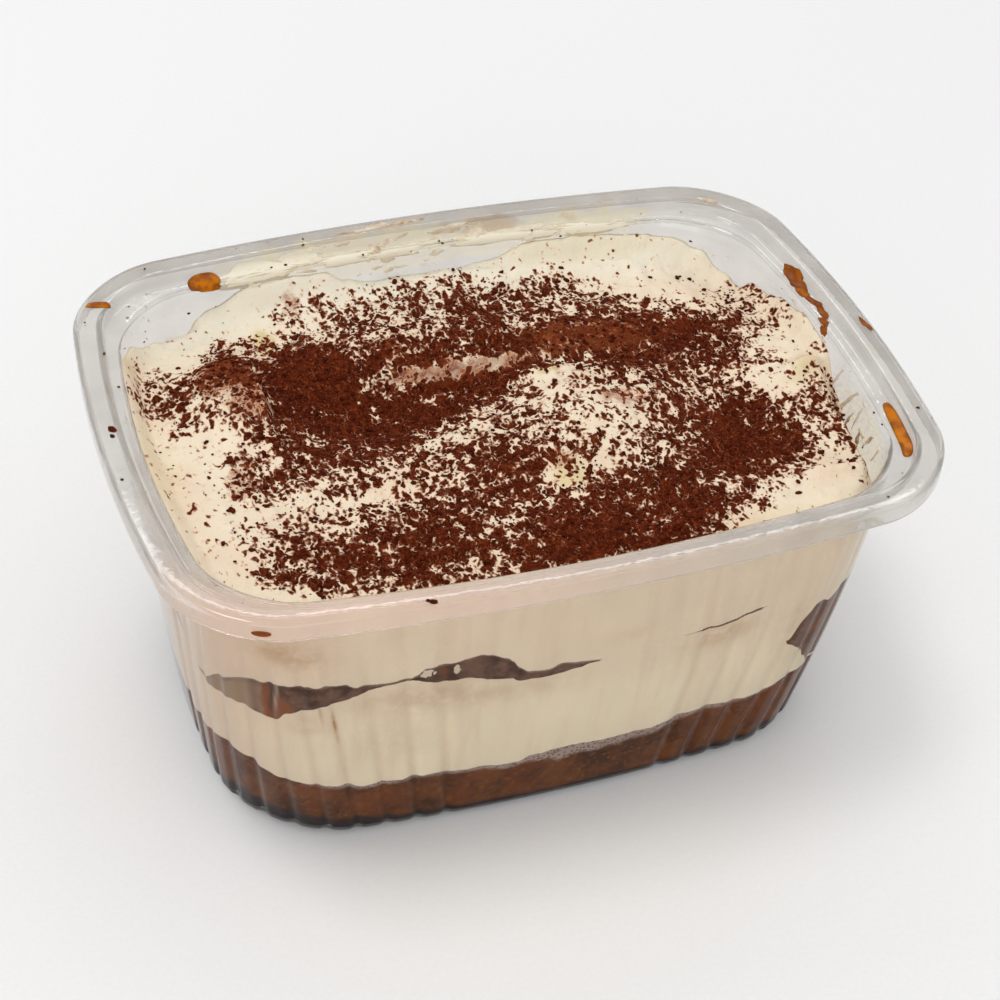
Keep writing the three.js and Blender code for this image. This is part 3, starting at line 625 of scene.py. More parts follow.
def cream_material(finish):
    """Whipped mascarpone cream, spooned and smoothed: satin, soft, a little uneven in colour.

    Against the plastic it is pressed flat, stained by coffee in places. The powder on top is dry
    cocoa, sieved from a hand's height, so that it lies in blots, grains and rubbed-in dust.
    """
    material, add, at = new_material("whipped mascarpone cream")
    peach = hex_colour("#EFDABF")
    white = hex_colour("#EFEAD8")
    rosy = hex_colour("#D9B9A3")
    yolk = hex_colour("#DDCB94")
    pressed = hex_colour("#E8D6BD")
    pressed_low = hex_colour("#EDE0C5")
    dull_and_groove_shade = hex_colour("#D8BEA8")
    coffee_stain = hex_colour("#AE7F48")
    haze = hex_colour("#F0CDAC")
    cocoa_light = hex_colour("#60230B")
    dust_dark = hex_colour("#8A3F1E")
    dust_light = hex_colour("#AE6238")
    dust = add("blend", add("ramp", add("cloud", at, 1 / 1.3, 3), 0.38, 0.64), dust_dark, dust_light)

    patches = add("cloud", at, 1 / 14, 3)
    fine = add("cloud", at, 1 / 3.2, 4, 0.6)
    grain = add("cloud", at, 1 / 0.42, 3, 0.6)
    colour = add("blend", add("ramp", patches, 0.35, 0.7), finish.cream, peach)
    sides = add("ShaderNodeSeparateXYZ", at).node.outputs
    colour = add("blend", add("ramp", sides["Y"], 26, 42, 0.0, 0.75), colour, white)
    yellow = add("painted", attribute_name="yolk")
    colour = add("blend", add("ramp", yellow, 0.05, 0.95), colour, yolk)

    # Against the wall: soft upright streaks, painted shade in the flutes' grooves and coffee stains.
    low = add("painted", attribute_name="low")
    wall_colour = add("blend", low, pressed, pressed_low)
    upright = add("scaled", at, (1.0, 1.0, 0.07))
    streak = add("cloud", upright, 1 / 3.4, 3, 0.55)
    streak = add("ramp", streak, 0.42, 0.72, 0.0, 0.3)
    wall_colour = add("blend", streak, wall_colour, dull_and_groove_shade)
    # Painted shade in the flutes' grooves.
    groove = add("painted", attribute_name="groove")
    groove = add("ramp", groove, 0.2, 1.0, 0.0, 0.3)
    wall_colour = add("blend", groove, wall_colour, dull_and_groove_shade)
    left = add("ramp", sides["X"], -34, -60, 0.0, 0.5)
    wall_colour = add("blend", left, wall_colour, rosy)
    colour = add("blend", add("painted", attribute_name="side"), colour, wall_colour)
    stain = add("painted", attribute_name="stain")
    stain = add("MULTIPLY", stain, add("ramp", fine, 0.2, 0.62))
    colour = add("blend", stain, colour, coffee_stain)

    # Rubbed-in dust: thin and streaky.
    rubbed = add("MULTIPLY_ADD", fine, 1.5, add("painted", attribute_name="dust"))
    rubbed = add("ramp", rubbed, 1.1, 1.7)
    rubbed = add("MULTIPLY", rubbed, add("ramp", grain, 0.25, 0.55, 0.6, 1.0))
    colour = add("blend", rubbed, colour, dust)

    # Cocoa: how closely it lies is painted; noise makes the blots, the threads of cream between
    # them and the grain. Round each blot a haze of powder tints the cream.
    squeezed = add("scaled", at, (1.0, 0.75, 1.0))
    threads = threads_of(add, add("cloud", squeezed, 1 / 1.4, 1.0, 0.5, 0.25))
    blots = add("cloud", squeezed, 1 / 1.8, 2)
    blots = add("MULTIPLY_ADD", blots, 1.1, add("painted", attribute_name="cocoa"))
    blots = add("MULTIPLY_ADD", threads, 1.9, blots)
    blots = add("MULTIPLY_ADD", add("cloud", at, 1 / 0.5, 2), 0.45, blots)
    blots = add("SUBTRACT", blots, 0.942)
    colour = add("blend", add("ramp", blots, 0.2, 0.44, 0.0, 0.5), colour, haze)
    colour = add("blend", add("ramp", blots, 0.36, 0.53, 0.0, 0.7), colour, dust)
    mask = add("ramp", blots, 0.39, 0.6)
    lumps = add("ramp", add("cloud", at, 1 / 0.6, 3, 0.62), 0.34, 0.68)
    cocoa = add("blend", lumps, finish.cocoa, cocoa_light)
    lighter = add("ramp", add("cloud", at, 1 / 5, 2), 0.45, 0.7, 0.0, 0.6)
    cocoa = add("blend", lighter, cocoa, cocoa_light)
    veins = threads_of(add, add("cloud", squeezed, 1 / 0.85, 1.5, 0.5, 0.5))
    cocoa = add("blend", add("ramp", veins, 0.035, 0.0, 0.0, 0.5), cocoa, dust)
    cocoa = add("blend", add("MULTIPLY", rubbed, 0.28), cocoa, dust)
    colour = add("blend", mask, colour, cocoa)

    relief = add("MULTIPLY_ADD", mask, 0.5, fine)
    relief = add("MULTIPLY_ADD", grain, 0.5, relief)
    satin = {
        "Base Color": colour,
        "Roughness": add("ramp", mask, 0.0, 1.0, 0.45, 1.0),
        "IOR": 1.45,
        "Specular IOR Level": 0.1,
        "Subsurface Weight": 0.1,
        "Subsurface Radius": (1.0, 0.75, 0.5),
        "Subsurface Scale": 1.5 * MM,
    }
    add("ShaderNodeOutputMaterial", relief_shader(add, relief, 0.6, 0.4, satin))
    return material


def base_sponge_material(finish):
    """Sponge fingers soaked through with coffee and packed: moist crumb with lighter, drier bits.

    Its upper edge is a greyish froth of cream and coffee bubbles; the dark band below is gathered coffee
    and painted shade.
    """
    material, add, at = new_material("coffee-soaked sponge crumb")
    dark = hex_colour("#47240C")
    tan = hex_colour("#94602F")
    ruddy = hex_colour("#7A3F1B")
    froth = hex_colour("#7C655A")
    bubble = hex_colour("#A8968C")
    pool = hex_colour("#2E2222")

    crumb = add("cloud", at, 1 / 0.9, 4, 0.65)
    blotch = add("ramp", add("cloud", at, 1 / 6, 4, 0.6), 0.38, 0.62)
    colour = add("blend", blotch, dark, finish.base_sponge)
    warm = add("ramp", add("cloud", at, 1 / 9, 2), 0.45, 0.7, 0.0, 0.7)
    colour = add("blend", warm, colour, ruddy)
    colour = add("blend", add("ramp", crumb, 0.5, 0.72, 0.0, 0.6), colour, tan)
    pores = add("cells", at, 1 / 0.9)
    colour = add("blend", add("ramp", pores, 0.25, 0.05, 0.0, 0.6), colour, dark)
    foam = add("blend", add("ramp", add("cells", at, 1 / 0.62), 0.3, 0.5), froth, bubble)
    colour = add("blend", add("painted", attribute_name="froth"), colour, foam)
    # The dark band at the foot: gathered coffee, darkened further as painted shade.
    colour = add("blend", add("painted", attribute_name="pool"), colour, pool)
    height = add("SUBTRACT", crumb, add("ramp", pores, 0.3, 0.0))
    moist = {"Base Color": colour, "Roughness": 0.5, "IOR": 1.4, "Specular IOR Level": 0.04}
    add("ShaderNodeOutputMaterial", relief_shader(add, height, 0.6, 0.4, moist))
    return material


def middle_sponge_material(finish):
    """Sponge soaked with coffee under a film of cream where it lies against the plastic."""
    material, add, at = new_material("coffee-soaked sponge under cream film")
    dark = hex_colour("#452A1E")
    grey = hex_colour("#9C8066")
    wet = hex_colour("#8A4E28")
    shadow = hex_colour("#33201A")
    lit_edge = hex_colour("#C9B3A0")
    creamy = hex_colour("#D6C4B0")

    blotch = add("cloud", at, 1 / 4, 4, 0.6)
    crumb = add("cloud", at, 1 / 0.8, 4, 0.65)
    colour = add("blend", add("ramp", blotch, 0.38, 0.64), finish.middle_sponge, dark)
    film = add("ramp", add("painted", attribute_name="film"), 0.0, 1.0)
    colour = add("blend", film, colour, grey)
    ragged_wet = add("MULTIPLY_ADD", blotch, 2.2, add("painted", attribute_name="wet"))
    colour = add("blend", add("ramp", ragged_wet, 1.5, 2.1, 0.0, 0.8), colour, wet)
    colour = add("blend", add("ramp", crumb, 0.5, 0.8, 0.0, 0.35), colour, grey)
    # Painted shade and painted highlights: dark lines and the shadow under the upper edge, and light
    # lines beside them.
    colour = add("blend", add("painted", attribute_name="ridge"), colour, shadow)
    lit = add("MULTIPLY", add("painted", attribute_name="lit"), 0.6)
    colour = add("blend", lit, colour, lit_edge)
    ragged_cream = add("cloud", at, 1 / 1.3, 3)
    ragged_cream = add("MULTIPLY_ADD", ragged_cream, 2.2, add("painted", attribute_name="creamy"))
    colour = add("blend", add("ramp", ragged_cream, 1.7, 1.85), colour, creamy)
    moist = {"Base Color": colour, "Roughness": 0.45, "IOR": 1.4, "Specular IOR Level": 0.04}
    add("ShaderNodeOutputMaterial", relief_shader(add, crumb, 0.5, 0.3, moist))
    return material


def cocoa_material(finish):
    """Dry cocoa powder caked into small clumps: matt, deep red-brown, lighter where it is thin."""
    material, add, at = new_material("cocoa powder")
    light = hex_colour("#62240B")
    worn = hex_colour("#48180A")
    grain = add("cloud", at, 1 / 0.45, 3, 0.6)
    colour = add("blend", add("ramp", grain, 0.35, 0.68), finish.cocoa_clump, light)
    patch = add("ramp", add("cloud", at, 1 / 4, 2), 0.4, 0.7, 0.0, 0.5)
    colour = add("blend", patch, colour, worn)
    matt = {"Base Color": colour, "Roughness": 1.0, "Specular IOR Level": 0.08}
    add("ShaderNodeOutputMaterial", relief_shader(add, grain, 0.6, 0.2, matt))
    return material


def coffee_material(finish):
    """Dried drops of sweet coffee: glossy, darker where they are thick and at their dried edge."""
    material, add, at = new_material("dried coffee drop")
    dark = hex_colour("#8E4A06")
    edge = hex_colour("#6E3A0A")
    dry = hex_colour("#7C3C10")
    cloudy = add("ramp", add("cloud", at, 1 / 2.2, 3), 0.38, 0.62)
    colour = add("blend", cloudy, finish.coffee, dark)
    rim = add("ramp", add("painted", attribute_name="rim"), 0.4, 1.0, 0.0, 0.7)
    colour = add("blend", rim, colour, edge)
    dried = add("ramp", add("painted", attribute_name="dried"), 0.1, 0.9)
    colour = add("blend", dried, colour, dry)
    glossy = {"Base Color": colour, "Roughness": 0.18, "IOR": 1.36, "Specular IOR Level": 0.2}
    add("ShaderNodeOutputMaterial", add("ShaderNodeBsdfPrincipled", sockets=glossy))
    return material


def smear_material(finish):
    """Thin smears of cream and coffee on plastic: satin."""
    material, add, at = new_material("cream smear")
    tan = hex_colour("#A8743C")
    fine = add("cloud", at, 1 / 1.6, 3)
    stain = add("painted", attribute_name="stain")
    stain = add("MULTIPLY", stain, add("ramp", fine, 0.2, 0.7))
    colour = add("blend", stain, finish.smear, tan)
    satin = {"Base Color": colour, "Roughness": 0.35, "IOR": 1.45}
    add("ShaderNodeOutputMaterial", relief_shader(add, fine, 0.4, 0.3, satin))
    return material


# Thin films left on the rim and the wall: centre, half sizes and whether coffee stains them.
RIM_FILMS = [
    ((-12, 45.5, 61.5), (27, 5, 5), False),
    ((24, 44.5, 61), (26, 3.4, 3.5), False),
    ((60.5, -20, 54.5), (6, 15, 6.5), False),
    ((14, 46, 63), (7, 2.6, 3), True),
]


def rim_film(add, at, stained):
    """How thickly cream, or coffee where stained, is smeared on the rim and the wall."""
    ragged = add("SUBTRACT", add("cloud", at, 1 / 4.5, 4, 0.6, 0.8), 0.5)
    amount = 0.0
    for centre, half_sizes, coffee in RIM_FILMS:
        if coffee == stained:
            away = add("ShaderNodeVectorMath", at, centre, operation="SUBTRACT")
            away = add("ShaderNodeVectorMath", away, half_sizes, operation="DIVIDE")
            away = add("ShaderNodeVectorMath", away, operation="LENGTH", output="Value")
            amount = add("MAXIMUM", amount, add("ramp", away, 1.3, 0.5))
    return add("ramp", add("MULTIPLY_ADD", ragged, 2.4, amount), 0.3, 0.85)


def plastic_material(name, tints, roughness, clearness, bending, smeared):
    """Clear polypropylene sheet, vacuum-formed: glossy, with faint draw lines.

    The wall is stretched thin and clear. The rim stays thicker, greyer and a little milky, and
    cream and coffee are smeared on it.
    """
    material, add, at = new_material(name)
    lip_highlight = hex_colour("#FAE9DD")
    cream_film = hex_colour("#EBE2CB")
    coffee_film = hex_colour("#C9A678")
    drawn = add("scaled", at, (1.0, 1.0, 0.06))
    waves = add("cloud", at, 1 / 9, 2)
    relief = add("MULTIPLY_ADD", waves, 1.6, add("cloud", drawn, 1 / 1.4, 3, 0.5))
    colour = add("blend", add("ramp", waves, 0.3, 0.7), *tints)
    if smeared:
        # Painted highlight: the front lip, most of all at its left, is tinted lighter and pinker.
        sides = add("ShaderNodeSeparateXYZ", at).node.outputs
        front = add("MULTIPLY_ADD", sides["X"], 0.22, sides["Y"])
        colour = add("blend", add("ramp", front, -38, -58, 0.0, 0.9), colour, lip_highlight)
        colour = add("blend", rim_film(add, at, False), colour, cream_film)
        thin = add("MULTIPLY", rim_film(add, at, True), 0.5)
        colour = add("blend", thin, colour, coffee_film)
    glass = {
        "Base Color": colour,
        "Roughness": roughness,
        "IOR": bending,
        "Transmission Weight": clearness,
    }
    clear = relief_shader(add, relief, 0.35, 0.12, glass)
    straight = add("ShaderNodeBsdfTransparent", hex_colour("#FAFAFA"))
    shadows = add("ShaderNodeLightPath", output="Is Shadow Ray")
    add("ShaderNodeOutputMaterial", add("ShaderNodeMixShader", shadows, clear, straight))
    return material


def floor_material(finish):
    """Matt white card."""
    material, add, at = new_material("matt white card")
    fibre = add("ramp", add("cloud", at, 1 / 0.8, 2), 0.2, 0.8)
    colour = add("blend", fibre, finish.floor, hex_colour("#F7F7F7"))
    card = {"Base Color": colour, "Roughness": 0.9}
    add("ShaderNodeOutputMaterial", add("ShaderNodeBsdfPrincipled", sockets=card))
    return material


# ---- Settings -----------------------------------------------------------------------------------


def length_setting(name, description, metres):
    return FloatProperty(name=name, description=description, default=metres, unit="LENGTH")


def count_setting(name, description, number):
    return IntProperty(name=name, description=description, default=number, min=0)


def power_setting(name, description, watts):
    return FloatProperty(name=name, description=description, default=watts, min=0)


def colour_setting(name, description, text):
    return FloatVectorProperty(
        name=name, description=description, default=hex_colour(text), size=4, subtype="COLOR"
    )


class TubSettings(PropertyGroup):
    """Sizes of the tub."""

    length: length_setting("Length", "Length of the rim", TUB_HIGH[0] - TUB_LOW[0])
    width: length_setting("Width", "Width of the rim", TUB_HIGH[1] - TUB_LOW[1])
    height: length_setting("Height", "Height of the rim above the base", TUB_HIGH[2] - TUB_LOW[2])
    sheet: length_setting("Sheet", "Thickness of the plastic", 0.0008)
    flute_pitch: length_setting("Flute pitch", "Distance between the flutes at the corners", 0.0053)
    flute_depth: length_setting("Flute depth", "Depth of the flutes at the base", 0.00055)


class FoodSettings(PropertyGroup):
    """The cocoa on top."""

    clumps: count_setting("Cocoa clumps", "How many clumps of cocoa lie in the blots", 4200)
    specks: count_setting("Cocoa specks", "How many single lumps of cocoa lie on the cream", 1300)
    grains: count_setting("Cocoa grains", "How many fine grains of cocoa lie on the cream", 4500)
    seed: count_setting("Seed", "Changes where the clumps, grains and smears fall", 41)


class FinishSettings(PropertyGroup):
    """Main colours of the finishes."""

    cream: colour_setting("Cream", "Colour of the whipped cream", "#F3E4CA")
    cocoa: colour_setting("Cocoa", "Darkest colour of the cocoa's blots", "#381006")
    cocoa_clump: colour_setting("Cocoa clumps", "Darkest colour of the cocoa's clumps", "#350F06")
    base_sponge: colour_setting("Base sponge", "Colour of the soaked base sponge", "#6E3E1B")
    middle_sponge: colour_setting("Middle sponge", "Colour of the middle sponge", "#705040")
    coffee: colour_setting("Coffee", "Colour of the dried drops", "#C97408")
    smear: colour_setting("Smears", "Colour of the cream smeared on the tub", "#EEE6D0")
    wall: colour_setting("Wall", "Tint of the clear wall", "#F5F3F0")
    rim: colour_setting("Rim", "Tint of the milky rim", "#E4E1DC")
    floor: colour_setting("Floor", "Colour of the floor", "#F4F4F4")


class StageSettings(PropertyGroup):
    """Camera and light."""

    lens: FloatProperty(
        name="Lens",
        description="Focal length of the camera in millimetres",
        default=80.514,
        unit="CAMERA",
    )
    surround: power_setting("Surround", "Strength of the even light from all round", 0.7)
    overhead: power_setting("Overhead", "Power of the softbox above, in watts", 2.2)
    front_fill: power_setting("Front fill", "Power of the softbox in front, in watts", 2.2)
    strip: power_setting("Ceiling strip", "Power of the narrow lamp for the highlights, in watts", 1.3)


# ---- Making the pieces --------------------------------------------------------------------------

TUB_PLACES = 800
FILLET_STEPS = 6
WALL_STEPS = 18
# Radii of the rim's corners in the order of its rings, from under the ledge round to the wall.
RIM_ROUNDING = (0.35, 0.35, 0.3, 0.3, 0.2, 0.25, 0.8, 0.7, 0.6, 0.8)
RIM_FINISH_FROM = 61.0
INNER_FINISH_FROM = 46.0
FOOD_PLACES = 600
LAYER_SCALES = (0.2, 0.5, 0.75, 0.9, 0.96, 0.985)  # rings of a layer's faces, as parts of its outline
UNDER_SCALES = (0.96, 0.85, 0.6, 0.3)
TOP_ROWS = 14
COCOA_FROM = 48  # the top cream's underside lies below this height, its face above
FITTING_ROUNDS = 4
FIRST_HEIGHT = 30.0
TOP_STEPS_X = 148
TOP_STEPS_Y = 106


def tub_rings(form):
    """The sheet in section as (outline, height, dent), from under the base round to the floor."""
    sheet = form.sheet
    ledge = form.height - LEDGE_DROP
    rings = []

    def base_ring(inset, z, dent):
        corner = WALL_BASE_CORNER_RADIUS - (inset - WALL_BASE_INSET)
        return form.outline(inset, corner, 1), z, dent

    for i in range(FILLET_STEPS):
        angle = math.pi / 2 * i / FILLET_STEPS
        inset = mix(BASE_EDGE_INSET, WALL_BASE_INSET, math.sin(angle))
        z = BASE_FILLET_HEIGHT * (1 - math.cos(angle))
        rings.append(base_ring(inset, z, form.flute * math.sin(angle)))
    for i in range(WALL_STEPS + 1):
        z = mix(BASE_FILLET_HEIGHT, form.wall_top, i / WALL_STEPS)
        rings.append((form.wall(z), z, form.flute_depth(z)))
    rim = [
        (LEDGE_START - sheet, ledge - sheet),
        (FLANGE_WIDTH - sheet, form.height - sheet),
        (sheet, form.height - sheet),
        (sheet, form.height - SKIRT_HEIGHT),
        (0, form.height - SKIRT_HEIGHT),
        (0, form.height),
        (FLANGE_WIDTH, form.height),
        (LEDGE_START, ledge),
    ]
    rings += [(form.rim(inset), z, 0.0) for inset, z in rim]
    rings.append((form.rim(LEDGE_START + LEDGE_WIDTH, LEDGE_CORNER_RADIUS), ledge, 0.0))
    for i in range(WALL_STEPS + 1):
        z = mix(form.wall_top - sheet, BASE_FILLET_HEIGHT + sheet, i / WALL_STEPS)
        rings.append((form.wall(z, sheet), z, form.flute_depth(z)))
    for i in range(1, FILLET_STEPS + 1):
        angle = math.pi / 2 * (1 - i / FILLET_STEPS)
        inset = mix(BASE_EDGE_INSET, WALL_BASE_INSET, math.sin(angle)) + sheet
        z = BASE_FILLET_HEIGHT * (1 - math.cos(angle)) + sheet
        rings.append(base_ring(inset, z, form.flute * math.sin(angle)))
    return rings


def make_tub(form, wall_material, rim_material):
    """The clear tub, swept round its outline ring by ring, with its rim rounded."""
    bm = bmesh.new()
    place = bm.verts.layers.float.new("place")
    rings = tub_rings(form)

    def ring_point(ring):
        outline, z, dent = ring
        return lambda vert: (*form.point(vert[place], outline, dent), z)

    loop = first_loop(bm, TUB_PLACES, place, ring_point(rings[0]))
    bmesh.ops.contextual_create(bm, geom=loop)
    corners = [loop]
    for ring in rings[1:]:
        loop = next_loop(bm, loop, ring_point(ring))
        corners.append(loop)
    bmesh.ops.contextual_create(bm, geom=loop)
    for index, radius in enumerate(RIM_ROUNDING, FILLET_STEPS + WALL_STEPS):
        bmesh.ops.bevel(
            bm,
            geom=[e for e in corners[index] if e.is_valid],
            offset=radius,
            offset_type="OFFSET",
            segments=3,
            profile=0.5,
            affect="EDGES",
            material=-1,
            clamp_overlap=True,
        )
    bmesh.ops.recalc_face_normals(bm, faces=bm.faces[:])
    for face in bm.faces:
        at = face.calc_center_median()
        faces_in = face.normal.x * at.x + face.normal.y * at.y < 0
        face.material_index = int(at.z > (INNER_FINISH_FROM if faces_in else RIM_FINISH_FROM))
    tub = add_piece(bm, "clear_tub", wall_material, ("tub",))
    tub.data.materials.append(rim_material)
    return tub


def wall_point(form, place, z, inset=0.0):
    """Point at the side of the food, pressed just into the inside of the wall."""
    return form.point(place, form.inside(z, inset), form.flute_depth(z))


def face_point(form, place, scale, inset, level):
    """Point on a face of a layer; its height and its place in the tapering tub fit each other."""
    z = FIRST_HEIGHT
    for _ in range(FITTING_ROUNDS):
        edge_x, edge_y = wall_point(form, place, z, inset)
        x, y = edge_x * scale, edge_y * scale
        depth = inset + (1 - scale) * math.hypot(edge_x, edge_y)
        z = level(x, y, place, depth)
    return x, y, z


def layer_mesh(form, low, high, rows, set_back=lambda place: 0.0):
    """A layer of food between its lower and its upper face, its side following the wall."""
    bm = bmesh.new()
    place = bm.verts.layers.float.new("place")
    side = bm.verts.layers.float.new("side")

    def face(scale, level):
        def position(vert):
            vert[side] = 0.0 if scale < 0.99 else 1.0
            return face_point(form, vert[place], scale, set_back(vert[place]), level)

        return position

    def side_point(part):
        def position(vert):
            vert[side] = 1.0
            back = set_back(vert[place])
            bottom = face_point(form, vert[place], 1.0, back, low)[2]
            top = face_point(form, vert[place], 1.0, back, high)[2]
            z = mix(bottom, top, part)
            return (*wall_point(form, vert[place], z, back), z)

        return position

    loop = first_loop(bm, FOOD_PLACES, place, face(LAYER_SCALES[0], low))
    bmesh.ops.contextual_create(bm, geom=loop)
    for scale in LAYER_SCALES[1:]:
        loop = next_loop(bm, loop, face(scale, low))
    for row in range(rows + 1):
        loop = next_loop(bm, loop, side_point(row / rows))
    for scale in reversed(LAYER_SCALES):
        loop = next_loop(bm, loop, face(scale, high))
    bmesh.ops.contextual_create(bm, geom=loop)
    return bm


def paint(bm, name, value):
    """Paints a value on every vertex, from its position in millimetres and its place."""
    layer = bm.verts.layers.float.get(name) or bm.verts.layers.float.new(name)
    place = bm.verts.layers.float["place"]
    side = bm.verts.layers.float["side"]
    for vert in bm.verts:
        vert[layer] = value(vert.co, vert[place], vert[side])


# Coffee that has soaked into the cream at the wall: place, height, half sizes and strength.
WALL_STAINS = [
    (2.46, 50.0, 0.06, 3.0, 0.55), (2.52, 48.4, 0.05, 2.4, 0.45), (2.56, 31.5, 0.0045, 4.0, 1.0),
    (2.535, 35.0, 0.004, 2.4, 0.8), (2.50, 31.5, 0.04, 2.4, 0.3), (2.72, 36.5, 0.12, 3.0, 0.34),
    (2.86, 33.6, 0.14, 2.6, 0.26), (2.66, 26.0, 0.10, 6.0, 0.14), (3.26, 35.6, 0.06, 2.4, 0.3),
    (3.10, 41.6, 0.05, 1.8, 0.2), (3.30, 36.4, 0.05, 2.6, 0.3), (3.44, 33.0, 0.04, 6.0, 0.25),
    (3.48, 24.0, 0.04, 3.0, 0.2), (0.9, 36.0, 0.14, 3.0, 0.3), (1.5, 36.5, 0.12, 3.0, 0.3),
    (2.0, 36.0, 0.12, 3.0, 0.3), (0.05, 36.0, 0.14, 3.0, 0.3),
]


def wall_stain(co, place, side):
    """How strongly coffee stains the cream: at the wall, and in one spot on top."""
    if side < 0.5:
        return 0.8 * smooth_step(0.3, 0.6, bump(co.x, co.y, -46.5, -36.4, 1.7, 1.1))
    clear = 1.0
    for at, height, half_place, half_height, amount in WALL_STAINS:
        clear *= 1 - amount * bump(place, co.z, at, height, half_place, half_height)
    return 1 - clear


def wall_low(co, place, side):
    """Where the pressed cream is yellower: low down in the tub."""
    return smooth_step(44, 24, co.z)


def paint_wall(bm, form):
    """Paints what the cream's finish needs where it lies against the wall."""

    def groove(co, place, side):
        """Painted shade in the flutes' grooves, stronger lower down where the flutes are deeper."""
        along = place % 1 if int(place) % 2 else 1 - place % 1
        return form.groove(along) * form.wall_part(co.z) ** 0.6 if side > 0.5 else 0.0

    paint(bm, "stain", wall_stain)
    paint(bm, "low", wall_low)
    paint(bm, "groove", groove)


def make_sponge_base(form, material):
    """The soaked sponge on the floor of the tub, with froth on it and a dark band of coffee and painted
    shade under it.
    """
    bm = layer_mesh(form, floor_level, base_level, rows=22)

    def froth(co, place, side):
        if side < 0.5:
            return 0.0
        top = along_line(BASE_EDGE, place)[0]
        thick = along_line(FROTH_EDGE, place)[0] * (1 + 0.3 * uneven_along(place, 3, 2.2))
        return smooth_step(top - thick - 0.5, top - thick + 0.3, co.z) if thick > 0.15 else 0.0

    # Where the dark band lies: gathered coffee, and painted shade at the foot of the tub.
    def pool(co, place, side):
        level = along_line(POOL_AND_SHADE_EDGE, place)[0] + 0.6 * uneven_along(place, 7, 4.8)
        return 1 - smooth_step(level - 0.7, level + 0.7, co.z)

    for value in (froth, pool):
        paint(bm, value.__name__, value)
    return add_piece(bm, "soaked_sponge", material, ("sponge_base",))


def make_lower_cream(form, material):
    """The cream between the sponges."""

    def low(x, y, place, inset):
        return base_level(x, y, place, inset) - 0.04

    def high(x, y, place, inset):
        return middle_faces(x, y, place, inset)[0] + 0.1

    bm = layer_mesh(form, low, high, rows=26)
    paint_wall(bm, form)
    paint(bm, "cocoa", lambda co, place, side: NO_COCOA)
    for name in ("dust", "yolk"):
        paint(bm, name, lambda co, place, side: 0.0)
    return add_piece(bm, "lower_cream", material, ("cream_lower",))


def make_middle_sponge(form, material):
    """The thin sponge between the creams, set back from the wall where only cream shows."""

    def set_back(place):
        low, high = along_line(MIDDLE_EDGE, place)
        return MIDDLE_SETBACK * (1 - smooth_step(0.0, 0.5, high - low))

    def low(x, y, place, inset):
        below, above = middle_faces(x, y, place, inset)
        return min(below, (below + above) / 2 - 0.1)

    def high(x, y, place, inset):
        below, above = middle_faces(x, y, place, inset)
        return max(above, (below + above) / 2 + 0.1)

    bm = layer_mesh(form, low, high, rows=14, set_back=set_back)

    def film(co, place, side):
        """A film of cream: faint at the left corner, striped by the flutes and grey at the tail."""
        faint = 0.9 * (1 - smooth_step(2.36, 2.42, place)) if 2.2 < place < 2.6 else 0.0
        tail = 0.3 * smooth_step(3.0, 3.05, place) if 3.0 < place < 3.1 else 0.0
        stripe = 0.5 + 0.5 * math.sin(place * 4 * PLACE_LENGTH / 5.3 * 1.57)
        return max(faint, tail, 0.55 * stripe if 2.3 < place < 2.42 else 0)

    def wet(co, place, side):
        """Wetter, redder crumb: at the left corner, in a column and at the right corner."""
        right = smooth_step(3.42, 3.46, place) * (1 - smooth_step(3.8, 3.9, place))
        patch = bump(place, co.z, 2.45, 35.5, 0.035, 4.0)
        patch += bump(place, co.z, 2.42, 37.0, 0.012, 5.0)
        column = bump(place, co.z, 2.755, 42.0, 0.012, 3.0)
        return clamp01(patch * 1.2 + 0.7 * column + 0.5 * right)

    def creamy(co, place, side):
        """Patches where cream covers the sponge."""
        first = bump(place, co.z, 2.731, 41.9, 0.013, 1.0)
        return clamp01(1.4 * first + 1.4 * bump(place, co.z, 2.78, 41.8, 0.006, 1.3))

    def ridge(co, place, side):
        """Painted shade: a dark leaning line, and the shadow under the upper edge."""
        leaning = place - 0.0016 * (co.z - 38)
        line = bump(leaning, co.z, 2.432, 37.5, 0.005, 4.5)
        low_edge, high_edge = along_line(MIDDLE_EDGE, place)
        top = bump(0, co.z, 0, high_edge - 0.7, 1, 0.5) * (0.5 + 0.8 * uneven_along(place, 3, 2.9))
        return clamp01(0.9 * line + (0.5 * clamp01(top) if high_edge - low_edge > 1.5 else 0.0))

    def lit(co, place, side):
        """Painted highlights: a line beside the leaning one, and one along the upper edge."""
        leaning = place - 0.0016 * (co.z - 38)
        line = bump(leaning, co.z, 2.442, 38.5, 0.0035, 4.0)
        top = along_line(MIDDLE_EDGE, place)[1] - 0.15
        return clamp01(line + 0.5 * bump(0, co.z, 0, top, 1, 0.25)) if 2.3 < place < 3.1 else 0.0

    for value in (ridge, lit, film, wet, creamy):
        paint(bm, value.__name__, value)
    return add_piece(bm, "middle_sponge", material, ("sponge_middle",))


